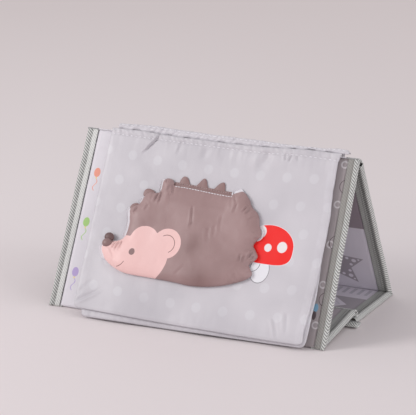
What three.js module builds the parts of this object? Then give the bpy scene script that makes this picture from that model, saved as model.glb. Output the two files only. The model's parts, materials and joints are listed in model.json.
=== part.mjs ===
// Cloth activity book that stands as a tent: three stiffened cloth panels bound with twill tape,
// two soft pages sewn along the ridge, and a padded hedgehog flap on the outer page.
// Millimetres, +Z up, X along the ridge. The tent's front faces -Y and it stands on Z = 0.
import * as THREE from 'three';
import { mergeVertices } from 'three/addons/utils/BufferGeometryUtils.js';

// Stand
const bookLength = 280;
const panelHeight = 175;
const baseDepth = 174;
const ridgeWidth = 12.5;
const ridgeDrop = 6;

// Cloth, board and tape
const seamGap = 0.3;
const clothThickness = 0.6;
const boardThickness = 1.6;
const boardInset = 2;
const tapeWidth = 12;
const tapeThickness = 0.7;
const tapeEdgeRadius = 1.6;
const coverShoulder = 1.2;
const ridgeThickness = 1.2;
const ridgeClearance = 1;

// Base flaps and their closure
const rearFlapLength = 96;
const flapOverlap = 12;
const lipThickness = 1.4;
const lipRadius = 6.4;
const lipTurnDegrees = 26;
const rolledHemWidth = 14;
const rolledHemHeight = 5.4;
const rolledHemOverhang = 5;
const closureThickness = 0.7;
const closureWidth = 11;
const closureLength = 236;

// Pages
const pageWidth = 232;
const pageOneWidth = 236;
const pageOneShift = 7;
const pageTwoShift = 10;
const crestHeight = 6;
const pageTwoRootClearance = 0.8;
const pageOneDrop = 7.5;
const pageTwoReach = 4.4;
const pageOneReach = 3;
const pageCloth = 0.5;
const crinkleFilm = 0.3;
const filmInset = 5;
const pageGap = 0.4;
const pageTwoTilt = 2.6;
const pageOneTilt = -1.4;
const pageTwoBow = 0.6;
const pageOneBow = 4.4;
const pageTwoTuck = { left: 6.5, right: 0.5 };
const pageOneTuck = { left: 5, right: 0 };
const kickDepth = 10.4;
const kickSkew = 4.6;
const foldDepth = 1.8;
const pageTabHeight = 2.6;
const pageTabThickness = 0.7;
const pageTabSetback = 0.2;

// Hedgehog flap
const flapWidth = 155;
const flapHeight = 89;
const flapAcross = 0.2;
const flapBelowCrest = 55.3;
const flapTiltDegrees = -2.7;
const flapCrown = 6.6;
const flapCloth = 0.6;
const flapLining = 0.5;
const flapSeat = 0.6;
const flapHingeLift = 0.4;
const noseLength = 10.4;
const noseHeight = 10;
const noseThickness = 4.6;

// Shares of the sizes above, and counts
const kickShare = 1.8;
const foldPhaseShare = 0.15;
const foldCount = 2.5;
const pageColumns = 16;
const pageRows = 10;
const padRings = 5;
const waddingShare = 0.93;
const arcSteps = 4;
const lipSteps = 10;

// The flap's outline from the snout along the belly, up the spiny back and down the brow: across
// as shares of the flap's width, up as shares of its height, from the middle of the stitch line.
const flapOutlineShares = [
  [-0.563, -0.8], [-0.515, -0.906], [-0.447, -0.965], [-0.357, -1], [-0.19, -0.993],
  [-0.046, -0.989], [0.061, -0.992], [0.163, -0.969], [0.262, -0.925], [0.356, -0.856],
  [0.419, -0.789], [0.434, -0.73], [0.404, -0.657], [0.441, -0.554], [0.393, -0.46],
  [0.43, -0.365], [0.399, -0.24], [0.369, -0.108], [0.305, -0.05], [0.29, -0.01],
  [-0.275, -0.01], [-0.289, -0.092], [-0.326, -0.094], [-0.366, -0.078], [-0.387, -0.126],
  [-0.381, -0.182], [-0.397, -0.245], [-0.428, -0.254], [-0.464, -0.331], [-0.451, -0.41],
  [-0.43, -0.504], [-0.432, -0.597], [-0.47, -0.662], [-0.507, -0.69], [-0.537, -0.721],
];
const flapCentreShares = [-0.17, -0.633];
const noseCentreShares = [-0.558, -0.668];

// The flat strip above the stitch line, with its three spikes and two end tufts.
const spikeStripShares = [
  [-0.282, 0], [0.298, 0], [0.298, 0.015], [0.27, 0.057], [0.243, 0.071], [0.185, 0.033],
  [0.127, 0.049], [0.102, 0.127], [0.053, 0.049], [0.012, 0.055], [-0.022, 0.134],
  [-0.067, 0.044], [-0.103, 0.047], [-0.149, 0.119], [-0.17, 0.048], [-0.19, 0.02],
  [-0.209, 0.035], [-0.246, 0.07], [-0.282, 0.047],
];

// Sizes worked out from those above
const radians = THREE.MathUtils.degToRad;
const halfLength = bookLength / 2;
const coverThickness = tapeThickness + seamGap + clothThickness;
const panelThickness = 2 * coverThickness + 2 * seamGap + boardThickness;
const pageThickness = 2 * pageCloth + crinkleFilm + 2 * seamGap;
const ridgeRun = Math.sqrt(ridgeWidth ** 2 - ridgeDrop ** 2);
const footSpan = baseDepth - ridgeRun;
const frontLean = Math.acos(Math.hypot(footSpan, ridgeDrop) / 2 / panelHeight) + Math.atan2(ridgeDrop, footSpan);
const ridgeFront = new THREE.Vector2(Math.cos(frontLean), Math.sin(frontLean)).multiplyScalar(panelHeight);
const ridgeRear = ridgeFront.clone().add(new THREE.Vector2(ridgeRun, -ridgeDrop));
const rearLean = Math.atan2(ridgeRear.y, baseDepth - ridgeRear.x);
const rolledHemNear = baseDepth - rearFlapLength - rolledHemWidth - 2 * seamGap;
const flapRise = rolledHemHeight + 2 * closureThickness + 3 * seamGap;
const flapSlope = Math.atan2(flapRise, rolledHemNear);
const frontFlapLength = (rolledHemNear + flapOverlap) / Math.cos(flapSlope);
const ridgeTurn = frontLean + Math.asin(ridgeDrop / ridgeWidth);
const ridgeDip = Math.max(-panelThickness / Math.tan(ridgeTurn), 0);
const panelTop = panelHeight - ridgeThickness / Math.sin(ridgeTurn) - ridgeDip - seamGap;
const crest = panelHeight + crestHeight;
const pageHingeOut = pageGap + pageThickness / 2;
const flapTilt = radians(flapTiltDegrees);
const flapStack = flapSeat + flapLining + seamGap + flapCloth;

// Finishes
const satin = { color: 0xd2d0d8, roughness: 0.55, metalness: 0 };
const printedCloth = { color: 0xdedce2, roughness: 0.7, metalness: 0 };
const insideCloth = { color: 0x76707a, roughness: 0.75, metalness: 0 };
const twill = { color: 0xb4b8b2, roughness: 0.85, metalness: 0 };
const greyboard = { color: 0x9a948a, roughness: 0.9, metalness: 0 };
const film = { color: 0xe6e8ea, roughness: 0.25, metalness: 0 };
const closureTape = { color: 0xf0f0ec, roughness: 0.95, metalness: 0 };
const furBrown = { color: 0x98807f, roughness: 0.6, metalness: 0 };
const noseBrown = { color: 0x846a6a, roughness: 0.6, metalness: 0 };
const liningWhite = { color: 0xf2f1f4, roughness: 0.7, metalness: 0 };
const wadding = { color: 0xf6f5f0, roughness: 1, metalness: 0 };

function addPiece(parent, name, geometry, finish) {
  const mesh = new THREE.Mesh(geometry, new THREE.MeshStandardMaterial(finish));
  mesh.name = name;
  parent.add(mesh);
}

function addGroup(parent, name) {
  const group = new THREE.Group();
  group.name = name;
  parent.add(group);
  return group;
}

// A prism along +Y with the outline [x, z]; where it starts and ends may change with z.
function prismAlongY(outline, startAt, endAt) {
  const shape = new THREE.Shape(outline.map(([x, z]) => new THREE.Vector2(x, -z)));
  const geometry = new THREE.ExtrudeGeometry(shape, { depth: 1, steps: 1, bevelEnabled: false });
  geometry.rotateX(-Math.PI / 2);
  const place = geometry.attributes.position;
  for (let i = 0; i < place.count; i += 1) {
    const z = place.getZ(i);
    place.setY(i, THREE.MathUtils.lerp(startAt(z), endAt(z), place.getY(i)));
  }
  geometry.computeVertexNormals();
  return geometry;
}

// A prism along X, centred on x = 0, with the outline [y, z].
function prismAlongX(outline, length) {
  const shape = new THREE.Shape(outline.map(([y, z]) => new THREE.Vector2(y, z)));
  const geometry = new THREE.ExtrudeGeometry(shape, { depth: length, steps: 1, bevelEnabled: false });
  geometry.translate(0, 0, -length / 2);
  geometry.applyMatrix4(new THREE.Matrix4().set(0, 0, 1, 0, 1, 0, 0, 0, 0, 1, 0, 0, 0, 0, 0, 1));
  return geometry;
}

function rectangle(low, high) {
  return [[low[0], low[1]], [high[0], low[1]], [high[0], high[1]], [low[0], high[1]]];
}

function arc(centre, radius, fromDegrees, toDegrees, steps) {
  return Array.from({ length: steps + 1 }, (_, i) => {
    const turn = radians(THREE.MathUtils.lerp(fromDegrees, toDegrees, i / steps));
    return [centre[0] + radius * Math.cos(turn), centre[1] + radius * Math.sin(turn)];
  });
}

function buildClosed(points, triangles) {
  const geometry = new THREE.BufferGeometry();
  geometry.setAttribute('position', new THREE.Float32BufferAttribute(points.flat(), 3));
  geometry.setIndex(triangles.flat());
  const merged = mergeVertices(geometry);
  merged.computeVertexNormals();
  return merged;
}

// A closed sheet between two surfaces over a grid: s runs across and t runs up, both from 0 to 1.
function closedSheet(columns, rows, frontAt, backAt) {
  const points = [];
  [frontAt, backAt].forEach((surface) => {
    for (let row = 0; row <= rows; row += 1) {
      for (let column = 0; column <= columns; column += 1) {
        points.push(surface(column / columns, row / rows));
      }
    }
  });
  const stride = columns + 1;
  const toBack = stride * (rows + 1);
  const triangles = [];
  const quad = (a, b, c, d) => triangles.push([a, b, c], [a, c, d]);
  for (let row = 0; row < rows; row += 1) {
    for (let column = 0; column < columns; column += 1) {
      const a = row * stride + column;
      quad(a, a + 1, a + 1 + stride, a + stride);
      quad(toBack + a, toBack + a + stride, toBack + a + 1 + stride, toBack + a + 1);
    }
  }
  for (let column = 0; column < columns; column += 1) {
    const top = rows * stride + column;
    quad(toBack + column, toBack + column + 1, column + 1, column);
    quad(toBack + top + 1, toBack + top, top, top + 1);
  }
  for (let row = 0; row < rows; row += 1) {
    const left = row * stride;
    const right = left + columns;
    quad(toBack + left, left, left + stride, toBack + left + stride);
    quad(right, toBack + right, toBack + right + stride, right + stride);
  }
  return buildClosed(points, triangles);
}

// A closed pad over a star-shaped outline, in rings from its centre to its rim.
function closedPad(outline, centre, rings, topAt, bottomAt) {
  const count = outline.length;
  const points = [];
  [topAt, bottomAt].forEach((surface) => {
    points.push([...centre, surface(...centre, 0)]);
    for (let ring = 1; ring <= rings; ring += 1) {
      const share = Math.sin((ring / rings) * (Math.PI / 2));
      outline.forEach(([rimX, rimY]) => {
        const x = THREE.MathUtils.lerp(centre[0], rimX, share);
        const y = THREE.MathUtils.lerp(centre[1], rimY, share);
        points.push([x, y, surface(x, y, share)]);
      });
    }
  });
  const toBottom = 1 + rings * count;
  const triangles = [];
  for (let i = 0; i < count; i += 1) {
    const next = (i + 1) % count;
    triangles.push([0, 1 + i, 1 + next], [toBottom, toBottom + 1 + next, toBottom + 1 + i]);
    for (let ring = 0; ring < rings - 1; ring += 1) {
      const a = 1 + ring * count + i;
      const b = 1 + ring * count + next;
      triangles.push([a, a + count, b + count], [a, b + count, b]);
      triangles.push([toBottom + a, toBottom + b + count, toBottom + a + count]);
      triangles.push([toBottom + a, toBottom + b, toBottom + b + count]);
    }
    const rim = 1 + (rings - 1) * count;
    triangles.push([rim + i, toBottom + rim + i, toBottom + rim + next]);
    triangles.push([rim + i, toBottom + rim + next, rim + next]);
  }
  return buildClosed(points, triangles);
}

// Where a layer at depth w starts beside a fold, cut along the plane that halves the fold's angle.
function mitre(foldAngle) {
  const half = foldAngle / 2;
  return (z) => Math.abs(z) / Math.tan(half) + seamGap / 2 / Math.sin(half);
}

// Half a panel's cloth: thin under the tape, filled out to the tape's own face between.
function coverOutline(depthAt) {
  const edge = halfLength - tapeThickness - seamGap;
  const foot = halfLength - tapeWidth - seamGap;
  const shoulder = foot - coverShoulder;
  const rim = tapeThickness + seamGap;
  const profile = [
    [-edge, rim], [-foot, rim], [-shoulder, 0], [shoulder, 0], [foot, rim], [edge, rim],
    [edge, coverThickness], [-edge, coverThickness],
  ];
  return profile.map(([x, depth]) => [x, depthAt(depth)]);
}

// A channel of tape round a panel's side edge, with the outer corners rounded.
function tapeOutline(side, depthAt) {
  const inner = halfLength - tapeWidth;
  const wall = halfLength - tapeThickness;
  const far = panelThickness - tapeThickness;
  const round = halfLength - tapeEdgeRadius;
  const profile = [
    [inner, 0],
    ...arc([round, tapeEdgeRadius], tapeEdgeRadius, -90, 0, arcSteps),
    ...arc([round, panelThickness - tapeEdgeRadius], tapeEdgeRadius, 0, 90, arcSteps),
    [inner, panelThickness], [inner, far], [wall, far], [wall, tapeThickness], [inner, tapeThickness],
  ];
  return profile.map(([x, depth]) => [side * x, depthAt(depth)]);
}

// One stiffened panel: two covers, the board between them and the two side tapes.
function addPanel(parent, name, { face, foldAngle, top, inside }) {
  const start = mitre(foldAngle);
  const end = () => top;
  const fromOuter = (depth) => face * depth;
  const fromInner = (depth) => face * (panelThickness - depth);
  addPiece(parent, `${name}_outer_cloth`, prismAlongY(coverOutline(fromOuter), start, end), printedCloth);
  const boardLow = coverThickness + seamGap;
  const boardHigh = boardLow + boardThickness;
  const boardHalf = halfLength - tapeThickness - seamGap - boardInset;
  const boardStart = () => start(boardHigh) + boardInset;
  const boardEnd = () => top - boardInset;
  const board = rectangle([-boardHalf, fromOuter(boardLow)], [boardHalf, fromOuter(boardHigh)]);
  addPiece(parent, `${name}_board`, prismAlongY(board, boardStart, boardEnd), greyboard);
  addPiece(parent, `${name}_inner_cloth`, prismAlongY(coverOutline(fromInner), start, end), inside);
  addPiece(parent, `${name}_left_tape`, prismAlongY(tapeOutline(-1, fromOuter), start, end), twill);
  addPiece(parent, `${name}_right_tape`, prismAlongY(tapeOutline(1, fromOuter), start, end), twill);
}

// The cloth strip over the ridge, from the front panel's top edge to just short of the rear one's.
function addRidgeBand(frontPanel) {
  const rear = ridgeRear.clone().sub(ridgeFront).rotateAround(new THREE.Vector2(), -frontLean);
  const run = rear.clone().normalize();
  const far = rear.clone().addScaledVector(run, -ridgeClearance);
  const inward = new THREE.Vector2(run.y, -run.x).multiplyScalar(ridgeThickness);
  const outline = [
    [panelHeight, 0],
    [panelHeight + far.x, far.y],
    [panelHeight + far.x + inward.x, far.y + inward.y],
    [panelHeight + inward.x, inward.y],
  ];
  addPiece(frontPanel, 'ridge_band', prismAlongX(outline, bookLength), twill);
}

// The upright tab on the ridge that the pages are sewn to.
function addPageTab(frontPanel) {
  const low = [panelHeight + seamGap, -pageTabSetback - pageTabThickness];
  const high = [panelHeight + pageTabHeight, -pageTabSetback];
  const tab = prismAlongX(rectangle(low, high), pageWidth);
  tab.translate(pageTwoShift, 0, 0);
  addPiece(frontPanel, 'page_tab', tab, satin);
}

// The front flap's free end: a bound lip that curls down over the rear flap's rolled hem.
function addLip(frontFlap) {
  const centre = [frontFlapLength + seamGap, panelThickness - lipRadius];
  const outline = [
    ...arc(centre, lipRadius, 90, -lipTurnDegrees, lipSteps),
    ...arc(centre, lipRadius - lipThickness, -lipTurnDegrees, 90, lipSteps),
  ];
  addPiece(frontFlap, 'base_front_end_binding', prismAlongX(outline, bookLength), twill);
}

function addRolledHem(rearFlap) {
  const radius = rolledHemHeight / 2;
  const near = rearFlapLength + seamGap + radius;
  const far = rearFlapLength + seamGap + rolledHemWidth - radius;
  const outline = [
    ...arc([far, -radius], radius, -90, 90, 2 * arcSteps),
    ...arc([near, -radius], radius, 90, 270, 2 * arcSteps),
  ];
  const length = bookLength + 2 * rolledHemOverhang;
  addPiece(rearFlap, 'base_rear_rolled_hem', prismAlongX(outline, length), twill);
}

// The closure's two strips face each other where the front flap lies over the rolled hem.
function addClosure(frontFlap, rearFlap) {
  const margin = (rolledHemWidth - closureWidth) / 2;
  const loopStart = rolledHemNear / Math.cos(flapSlope) + margin;
  const loop = rectangle(
    [loopStart, -seamGap - closureThickness],
    [loopStart + closureWidth, -seamGap],
  );
  addPiece(frontFlap, 'closure_loop_strip', prismAlongX(loop, closureLength), closureTape);
  const hookStart = rearFlapLength + seamGap + margin;
  const hook = rectangle(
    [hookStart, -rolledHemHeight - seamGap - closureThickness],
    [hookStart + closureWidth, -rolledHemHeight - seamGap],
  );
  addPiece(rearFlap, 'closure_hook_strip', prismAlongX(hook, closureLength), closureTape);
}

// How far the pages hang off the front panel, at x across it and u up it.
function hang(x, u) {
  const across = (2 * x) / pageWidth;
  const down = Math.max(1 - u / crest, 0);
  const kick = (kickDepth - kickSkew * across) * down ** kickShare;
  const wave = 1 - Math.cos(2 * Math.PI * (foldCount * across / 2 + foldPhaseShare));
  return pageGap + kick + (foldDepth / 2) * wave * down ** 2;
}

function pageOneBack(x, u) {
  return hang(x, u) + pageThickness + pageGap;
}

// One page: two cloths with crinkle film between, as closed sheets with the page's soft folds.
function addPage(group, name, { width, shift, root, reach, tilt, bow, tuck, backAt }) {
  const sheet = (inset, depth, thickness) => {
    const half = width / 2 - inset;
    const at = (s, t, lift) => {
      const straight = THREE.MathUtils.lerp(-half, half, s);
      const side = straight / half;
      const bottom = inset - reach + tilt * side + bow * side ** 2;
      const u = THREE.MathUtils.lerp(bottom, root - inset, t);
      const x = straight + shift + THREE.MathUtils.lerp(tuck.left, tuck.right, s) * (1 - t) ** 2;
      const out = backAt(x, u) + depth + lift;
      return [x, u - crest, out - pageHingeOut];
    };
    return closedSheet(pageColumns, pageRows, (s, t) => at(s, t, thickness), (s, t) => at(s, t, 0));
  };
  const filmDepth = pageCloth + seamGap;
  const frontDepth = filmDepth + crinkleFilm + seamGap;
  addPiece(group, `${name}_back_cloth`, sheet(0, 0, pageCloth), satin);
  addPiece(group, `${name}_crinkle_film`, sheet(filmInset, filmDepth, crinkleFilm), film);
  addPiece(group, `${name}_front_cloth`, sheet(0, frontDepth, pageCloth), satin);
}

// The hedgehog: a flat strip of spikes sewn to the page, and the padded flap hinged below it.
function addHedgehog(pageOne) {
  const middleUp = crest - flapBelowCrest;
  const pageFace = (x, u) => pageOneBack(x, u) + pageThickness;
  const hingeOut = pageFace(flapAcross, middleUp) + flapStack + flapHingeLift;
  const stitchLine = addGroup(pageOne, 'stitch_line');
  stitchLine.position.set(flapAcross, -flapBelowCrest, hingeOut - pageHingeOut);
  stitchLine.rotation.z = flapTilt;

  const size = ([x, y]) => [x * flapWidth, y * flapHeight];
  const strip = new THREE.Shape(spikeStripShares.map((point) => new THREE.Vector2(...size(point))));
  const spikes = new THREE.ExtrudeGeometry(strip, { depth: flapCloth, steps: 1, bevelEnabled: false });
  spikes.translate(0, 0, -flapStack);
  addPiece(stitchLine, 'hedgehog_spike_strip', spikes, furBrown);

  const flap = addGroup(stitchLine, 'hedgehog_flap_hinge');
  const floorAt = (x, y) => {
    const across = flapAcross + x * Math.cos(flapTilt) - y * Math.sin(flapTilt);
    const up = middleUp + x * Math.sin(flapTilt) + y * Math.cos(flapTilt);
    return pageFace(across, up) + flapSeat - hingeOut;
  };
  const outline = flapOutlineShares.map(size);
  const centre = size(flapCentreShares);
  const crownAt = (share) => flapCrown * Math.sqrt(Math.max(1 - share ** 2, 0));
  const liningTop = (x, y) => floorAt(x, y) + flapLining;
  const underCloth = (x, y, share) => liningTop(x, y) + seamGap + crownAt(share);

  const lining = closedPad(outline, centre, padRings, liningTop, floorAt);
  addPiece(flap, 'hedgehog_lining', lining, liningWhite);
  const fillingTop = (x, y, share) => liningTop(x, y) + crownAt(share * waddingShare);
  const fillingFloor = (x, y) => liningTop(x, y) + seamGap;
  const fillingOutline = outline.map(([x, y]) => [
    THREE.MathUtils.lerp(centre[0], x, waddingShare),
    THREE.MathUtils.lerp(centre[1], y, waddingShare),
  ]);
  const filling = closedPad(fillingOutline, centre, padRings, fillingTop, fillingFloor);
  addPiece(flap, 'hedgehog_wadding', filling, wadding);
  const clothTop = (x, y, share) => underCloth(x, y, share) + flapCloth;
  addPiece(flap, 'hedgehog_front_cloth', closedPad(outline, centre, padRings, clothTop, underCloth), furBrown);

  const nose = new THREE.SphereGeometry(1 / 2, 12, 8);
  nose.scale(noseLength, noseHeight, noseThickness);
  const [noseX, noseY] = size(noseCentreShares);
  nose.translate(noseX, noseY, floorAt(noseX, noseY) + noseThickness / 2);
  addPiece(flap, 'hedgehog_nose', nose, noseBrown);
}

function buildBook() {
  const book = new THREE.Group();
  book.name = 'book';

  const frontPanel = addGroup(book, 'front_panel');
  frontPanel.rotation.x = frontLean;
  addPanel(frontPanel, 'front_panel', {
    face: -1, foldAngle: frontLean - flapSlope, top: panelTop, inside: insideCloth,
  });
  addRidgeBand(frontPanel);
  addPageTab(frontPanel);

  const rearPanel = addGroup(book, 'rear_panel');
  rearPanel.position.y = baseDepth;
  rearPanel.rotation.x = Math.PI - rearLean;
  addPanel(rearPanel, 'rear_panel', {
    face: 1, foldAngle: rearLean, top: panelHeight - ridgeClearance / 2, inside: insideCloth,
  });

  const frontFlap = addGroup(book, 'base_front_flap');
  frontFlap.rotation.x = flapSlope;
  addPanel(frontFlap, 'base_front', {
    face: 1, foldAngle: frontLean - flapSlope, top: frontFlapLength, inside: insideCloth,
  });
  addLip(frontFlap);

  const rearFlap = addGroup(book, 'base_rear_flap');
  rearFlap.position.y = baseDepth;
  rearFlap.rotation.x = Math.PI;
  addPanel(rearFlap, 'base_rear', {
    face: -1, foldAngle: rearLean, top: rearFlapLength, inside: insideCloth,
  });
  addRolledHem(rearFlap);
  addClosure(frontFlap, rearFlap);

  const pageTwo = addGroup(frontPanel, 'page_two_hinge');
  pageTwo.position.set(0, crest, pageHingeOut);
  addPage(pageTwo, 'page_two', {
    width: pageWidth, shift: pageTwoShift, root: crest - pageTwoRootClearance, reach: pageTwoReach,
    tilt: pageTwoTilt, bow: pageTwoBow, tuck: pageTwoTuck, backAt: hang,
  });
  const pageOne = addGroup(pageTwo, 'page_one_hinge');
  addPage(pageOne, 'page_one', {
    width: pageOneWidth, shift: pageOneShift, root: crest - pageOneDrop, reach: pageOneReach,
    tilt: pageOneTilt, bow: pageOneBow, tuck: pageOneTuck, backAt: pageOneBack,
  });
  addHedgehog(pageOne);

  // The origin is on the ground under the middle of the whole book.
  book.updateMatrixWorld(true);
  const extent = new THREE.Box3().setFromObject(book);
  book.position.y = -(extent.min.y + extent.max.y) / 2;
  return book;
}

export default buildBook();
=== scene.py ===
"""Cloth activity book standing as a tent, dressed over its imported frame.

Two stiffened panels lean together under a bound ridge, two satin pages hang over the front one, and
the outer page carries a padded hedgehog flap. Lengths are in metres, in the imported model's frame.
"""

import json
import logging
import math
from dataclasses import dataclass
from enum import Enum
from typing import Callable, Sequence

import bmesh
import bpy
from mathutils import Matrix, Vector, kdtree, noise


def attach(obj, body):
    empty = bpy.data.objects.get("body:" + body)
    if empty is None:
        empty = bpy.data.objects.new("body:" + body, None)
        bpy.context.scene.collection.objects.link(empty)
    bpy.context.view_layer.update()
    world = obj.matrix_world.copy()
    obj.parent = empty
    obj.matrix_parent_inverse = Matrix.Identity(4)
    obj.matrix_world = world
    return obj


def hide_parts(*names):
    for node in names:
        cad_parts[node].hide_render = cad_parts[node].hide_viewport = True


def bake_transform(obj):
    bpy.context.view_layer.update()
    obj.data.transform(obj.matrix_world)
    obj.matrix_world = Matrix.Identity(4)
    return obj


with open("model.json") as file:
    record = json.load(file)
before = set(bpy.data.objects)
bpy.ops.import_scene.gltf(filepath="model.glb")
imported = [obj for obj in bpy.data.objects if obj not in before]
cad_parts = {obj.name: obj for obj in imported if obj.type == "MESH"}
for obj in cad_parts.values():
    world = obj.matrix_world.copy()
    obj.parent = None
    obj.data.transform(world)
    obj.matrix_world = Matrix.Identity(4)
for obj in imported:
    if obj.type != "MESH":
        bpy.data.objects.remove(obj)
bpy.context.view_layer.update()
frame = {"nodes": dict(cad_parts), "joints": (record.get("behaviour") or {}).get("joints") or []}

log = logging.getLogger("activity_book")

MM = 0.001
DARKEST_CURVED = 0.04045
CURVE_LIFT = 0.055
CURVE_POWER = 2.4
DARK_SLOPE = 12.92
WELD = 0.00001
WALL_WELD = 0.0000001
BLACK = (0.0, 0.0, 0.0, 1.0)

Point = tuple[float, float]
Place = Callable[[float, float], Vector]
Layer = Callable[[float, float, float], Vector]
Flat = Callable[[float, float], Point]
Line = tuple[Point, ...]
Circle = tuple[Point, float]
Oval = tuple[Point, Point]
Colour = tuple[float, float, float, float]


class Side(Enum):
    """An end of the book, as the sign of its X."""

    LEFT = -1
    RIGHT = 1


class Motif(Enum):
    """What is printed on a panel's cloth."""

    BALLOONS = "balloons"
    STARS = "stars"
    STRIPES = "stripes"
    PLAIN = "plain"


def lerp(low: float, high: float, share: float) -> float:
    """Returns the value at a share of the way from low to high."""
    return low + (high - low) * share


def smooth(value: float) -> float:
    """Returns value held from 0 to 1 and eased at both ends."""
    held = min(max(value, 0.0), 1.0)
    return held * held * (3 - 2 * held)


def ripple(x: float, y: float, size: float, seed: float = 0.0) -> float:
    """Returns smooth noise from about -1 to 1, with bumps of the given size. The seed picks the field."""
    return noise.noise(Vector((x / size, y / size, seed)))


def through(points: Line, x: float) -> float:
    """Returns the height at x of a line eased from point to point.

    Args:
        points: Places and heights in millimetres, in order.
        x: The place, in metres.

    Returns:
        The height, in metres.
    """
    place = x / MM
    for (x0, y0), (x1, y1) in zip(points, points[1:]):
        if place <= x1:
            return lerp(y0, y1, smooth((place - x0) / (x1 - x0))) * MM
    return points[-1][1] * MM


def colour(red: int, green: int, blue: int) -> Colour:
    """Returns the linear colour of three display values from 0 to 255."""
    linear = [
        c / DARK_SLOPE if c <= DARKEST_CURVED else ((c + CURVE_LIFT) / (1 + CURVE_LIFT)) ** CURVE_POWER
        for c in (red / 255, green / 255, blue / 255)
    ]
    return (linear[0], linear[1], linear[2], 1.0)


# ---- Sizes and places that the pieces share


@dataclass(frozen=True)
class Stack:
    """Thicknesses and widths of the sewn layers."""

    panel: float = 5.4 * MM
    cloth: float = 0.6 * MM
    gap: float = 0.3 * MM
    tape_width: float = 12 * MM
    half_length: float = 140 * MM
    page: float = 1.9 * MM
    page_gap: float = 0.4 * MM


@dataclass(frozen=True)
class Slope:
    """A flat panel's own directions: across is X, up leaves its fold, out leaves its outer face."""

    foot: Vector
    up: Vector
    out: Vector

    def place(self, across: float, up: float, out: float) -> Vector:
        """Returns the point at those distances from the middle of the fold."""
        return self.foot + Vector((across, 0, 0)) + self.up * up + self.out * out


class Layout:
    """The folds and slopes of the standing book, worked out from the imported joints."""

    crest: float = 181 * MM
    hem_reach: float = 96 * MM
    hem_width: float = 14 * MM
    flap_overlap: float = 12 * MM
    flap_rise: float = 7.7 * MM

    def __init__(self, joints: Sequence[dict], stack: Stack) -> None:
        """Finds each fold line.

        Args:
            joints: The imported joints.
            stack: The layers' thicknesses.
        """
        at = {joint["name"]: Vector(joint["pos_m"]) for joint in joints}
        front_fold, rear_fold = at["front_flap_hinge"], at["rear_flap_hinge"]
        to_crest = at["page_two_hinge"] - front_fold
        root_out = stack.page_gap + stack.page / 2
        self.lean = math.atan2(to_crest.z, to_crest.y) - math.atan2(root_out, self.crest)
        cos, sin = math.cos(self.lean), math.sin(self.lean)
        self.front = Slope(front_fold, Vector((0, cos, sin)), Vector((0, -sin, cos)))
        rear_up = (at["ridge_hinge"] - rear_fold).normalized()
        self.rear = Slope(rear_fold, rear_up, Vector((0, rear_up.z, -rear_up.y)))
        self.panel = (at["ridge_hinge"] - rear_fold).length
        depth = rear_fold.y - front_fold.y
        near = depth - self.hem_reach - self.hem_width - 2 * stack.gap
        self.flap_slope = math.atan2(self.flap_rise, near)
        self.flap_reach = (near + self.flap_overlap) / math.cos(self.flap_slope)
        cos, sin = math.cos(self.flap_slope), math.sin(self.flap_slope)
        self.base_front = Slope(front_fold, Vector((0, cos, sin)), Vector((0, sin, -cos)))
        self.base_rear = Slope(rear_fold, Vector((0, -1, 0)), Vector((0, 0, -1)))
        self.front_angle = self.lean - self.flap_slope
        self.rear_angle = math.atan2(rear_up.z, -rear_up.y)
        self.stitch_line = at["hedgehog_hinge"]
        self.ridge_rear = at["ridge_hinge"]


# ---- Mesh making


def link(mesh: bmesh.types.BMesh, name: str) -> bpy.types.Object:
    """Turns a finished bmesh into a smooth object and links it to the scene.

    Args:
        mesh: The bmesh, which is freed.
        name: The object's name.

    Returns:
        The new object, at the origin.
    """
    bmesh.ops.recalc_face_normals(mesh, faces=mesh.faces)
    for face in mesh.faces:
        face.smooth = True
    data = bpy.data.meshes.new(name)
    mesh.to_mesh(data)
    mesh.free()
    made = bpy.data.objects.new(name, data)
    bpy.context.scene.collection.objects.link(made)
    return made


def shell(name: str, cells: tuple[int, int], front: Place, back: Place, flat: Flat) -> bpy.types.Object:
    """Makes a closed thin body between two surfaces over the same grid of shares.

    Args:
        name: The object's name.
        cells: Number of cells along the two shares.
        front: The outer surface's point at two shares from 0 to 1.
        back: The inner surface's point at two shares.
        flat: The cloth's flat coordinates at two shares, kept as the UV map.

    Returns:
        The new object.
    """
    mesh = bmesh.new()
    bmesh.ops.create_grid(mesh, x_segments=cells[0], y_segments=cells[1], size=0.5)
    along = mesh.verts.layers.float.new("along")
    beside = mesh.verts.layers.float.new("beside")
    facing = mesh.verts.layers.float.new("facing")
    for vert in mesh.verts:
        vert[along], vert[beside] = vert.co.x + 0.5, vert.co.y + 0.5
        vert[facing] = 1.0
        vert.co = front(vert[along], vert[beside])
    bmesh.ops.remove_doubles(mesh, verts=mesh.verts, dist=WELD)
    edges = [edge for edge in mesh.edges if edge.is_boundary]
    copy = bmesh.ops.duplicate(mesh, geom=mesh.verts[:] + mesh.edges[:] + mesh.faces[:])["geom"]
    wall = bmesh.ops.extrude_edge_only(mesh, edges=edges)["geom"]
    for part in copy + wall:
        if isinstance(part, bmesh.types.BMVert):
            part[facing] = 0.0
            part.co = back(part[along], part[beside])
    bmesh.ops.reverse_faces(mesh, faces=[part for part in copy if isinstance(part, bmesh.types.BMFace)])
    inner = [vert for vert in mesh.verts if vert[facing] < 0.5]
    bmesh.ops.remove_doubles(mesh, verts=inner, dist=WALL_WELD)
    uv = mesh.loops.layers.uv.new("UVMap")
    for face in mesh.faces:
        for loop in face.loops:
            loop[uv].uv = flat(loop.vert[along], loop.vert[beside])
    return link(mesh, name)


def layered(
    name: str, cells: tuple[int, int], place: Layer, over: float, under: float, flat: Flat
) -> bpy.types.Object:
    """Makes a shell between two values, over and under, of the depth or height that place takes last."""
    return shell(name, cells, lambda s, t: place(s, t, over), lambda s, t: place(s, t, under), flat)


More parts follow.
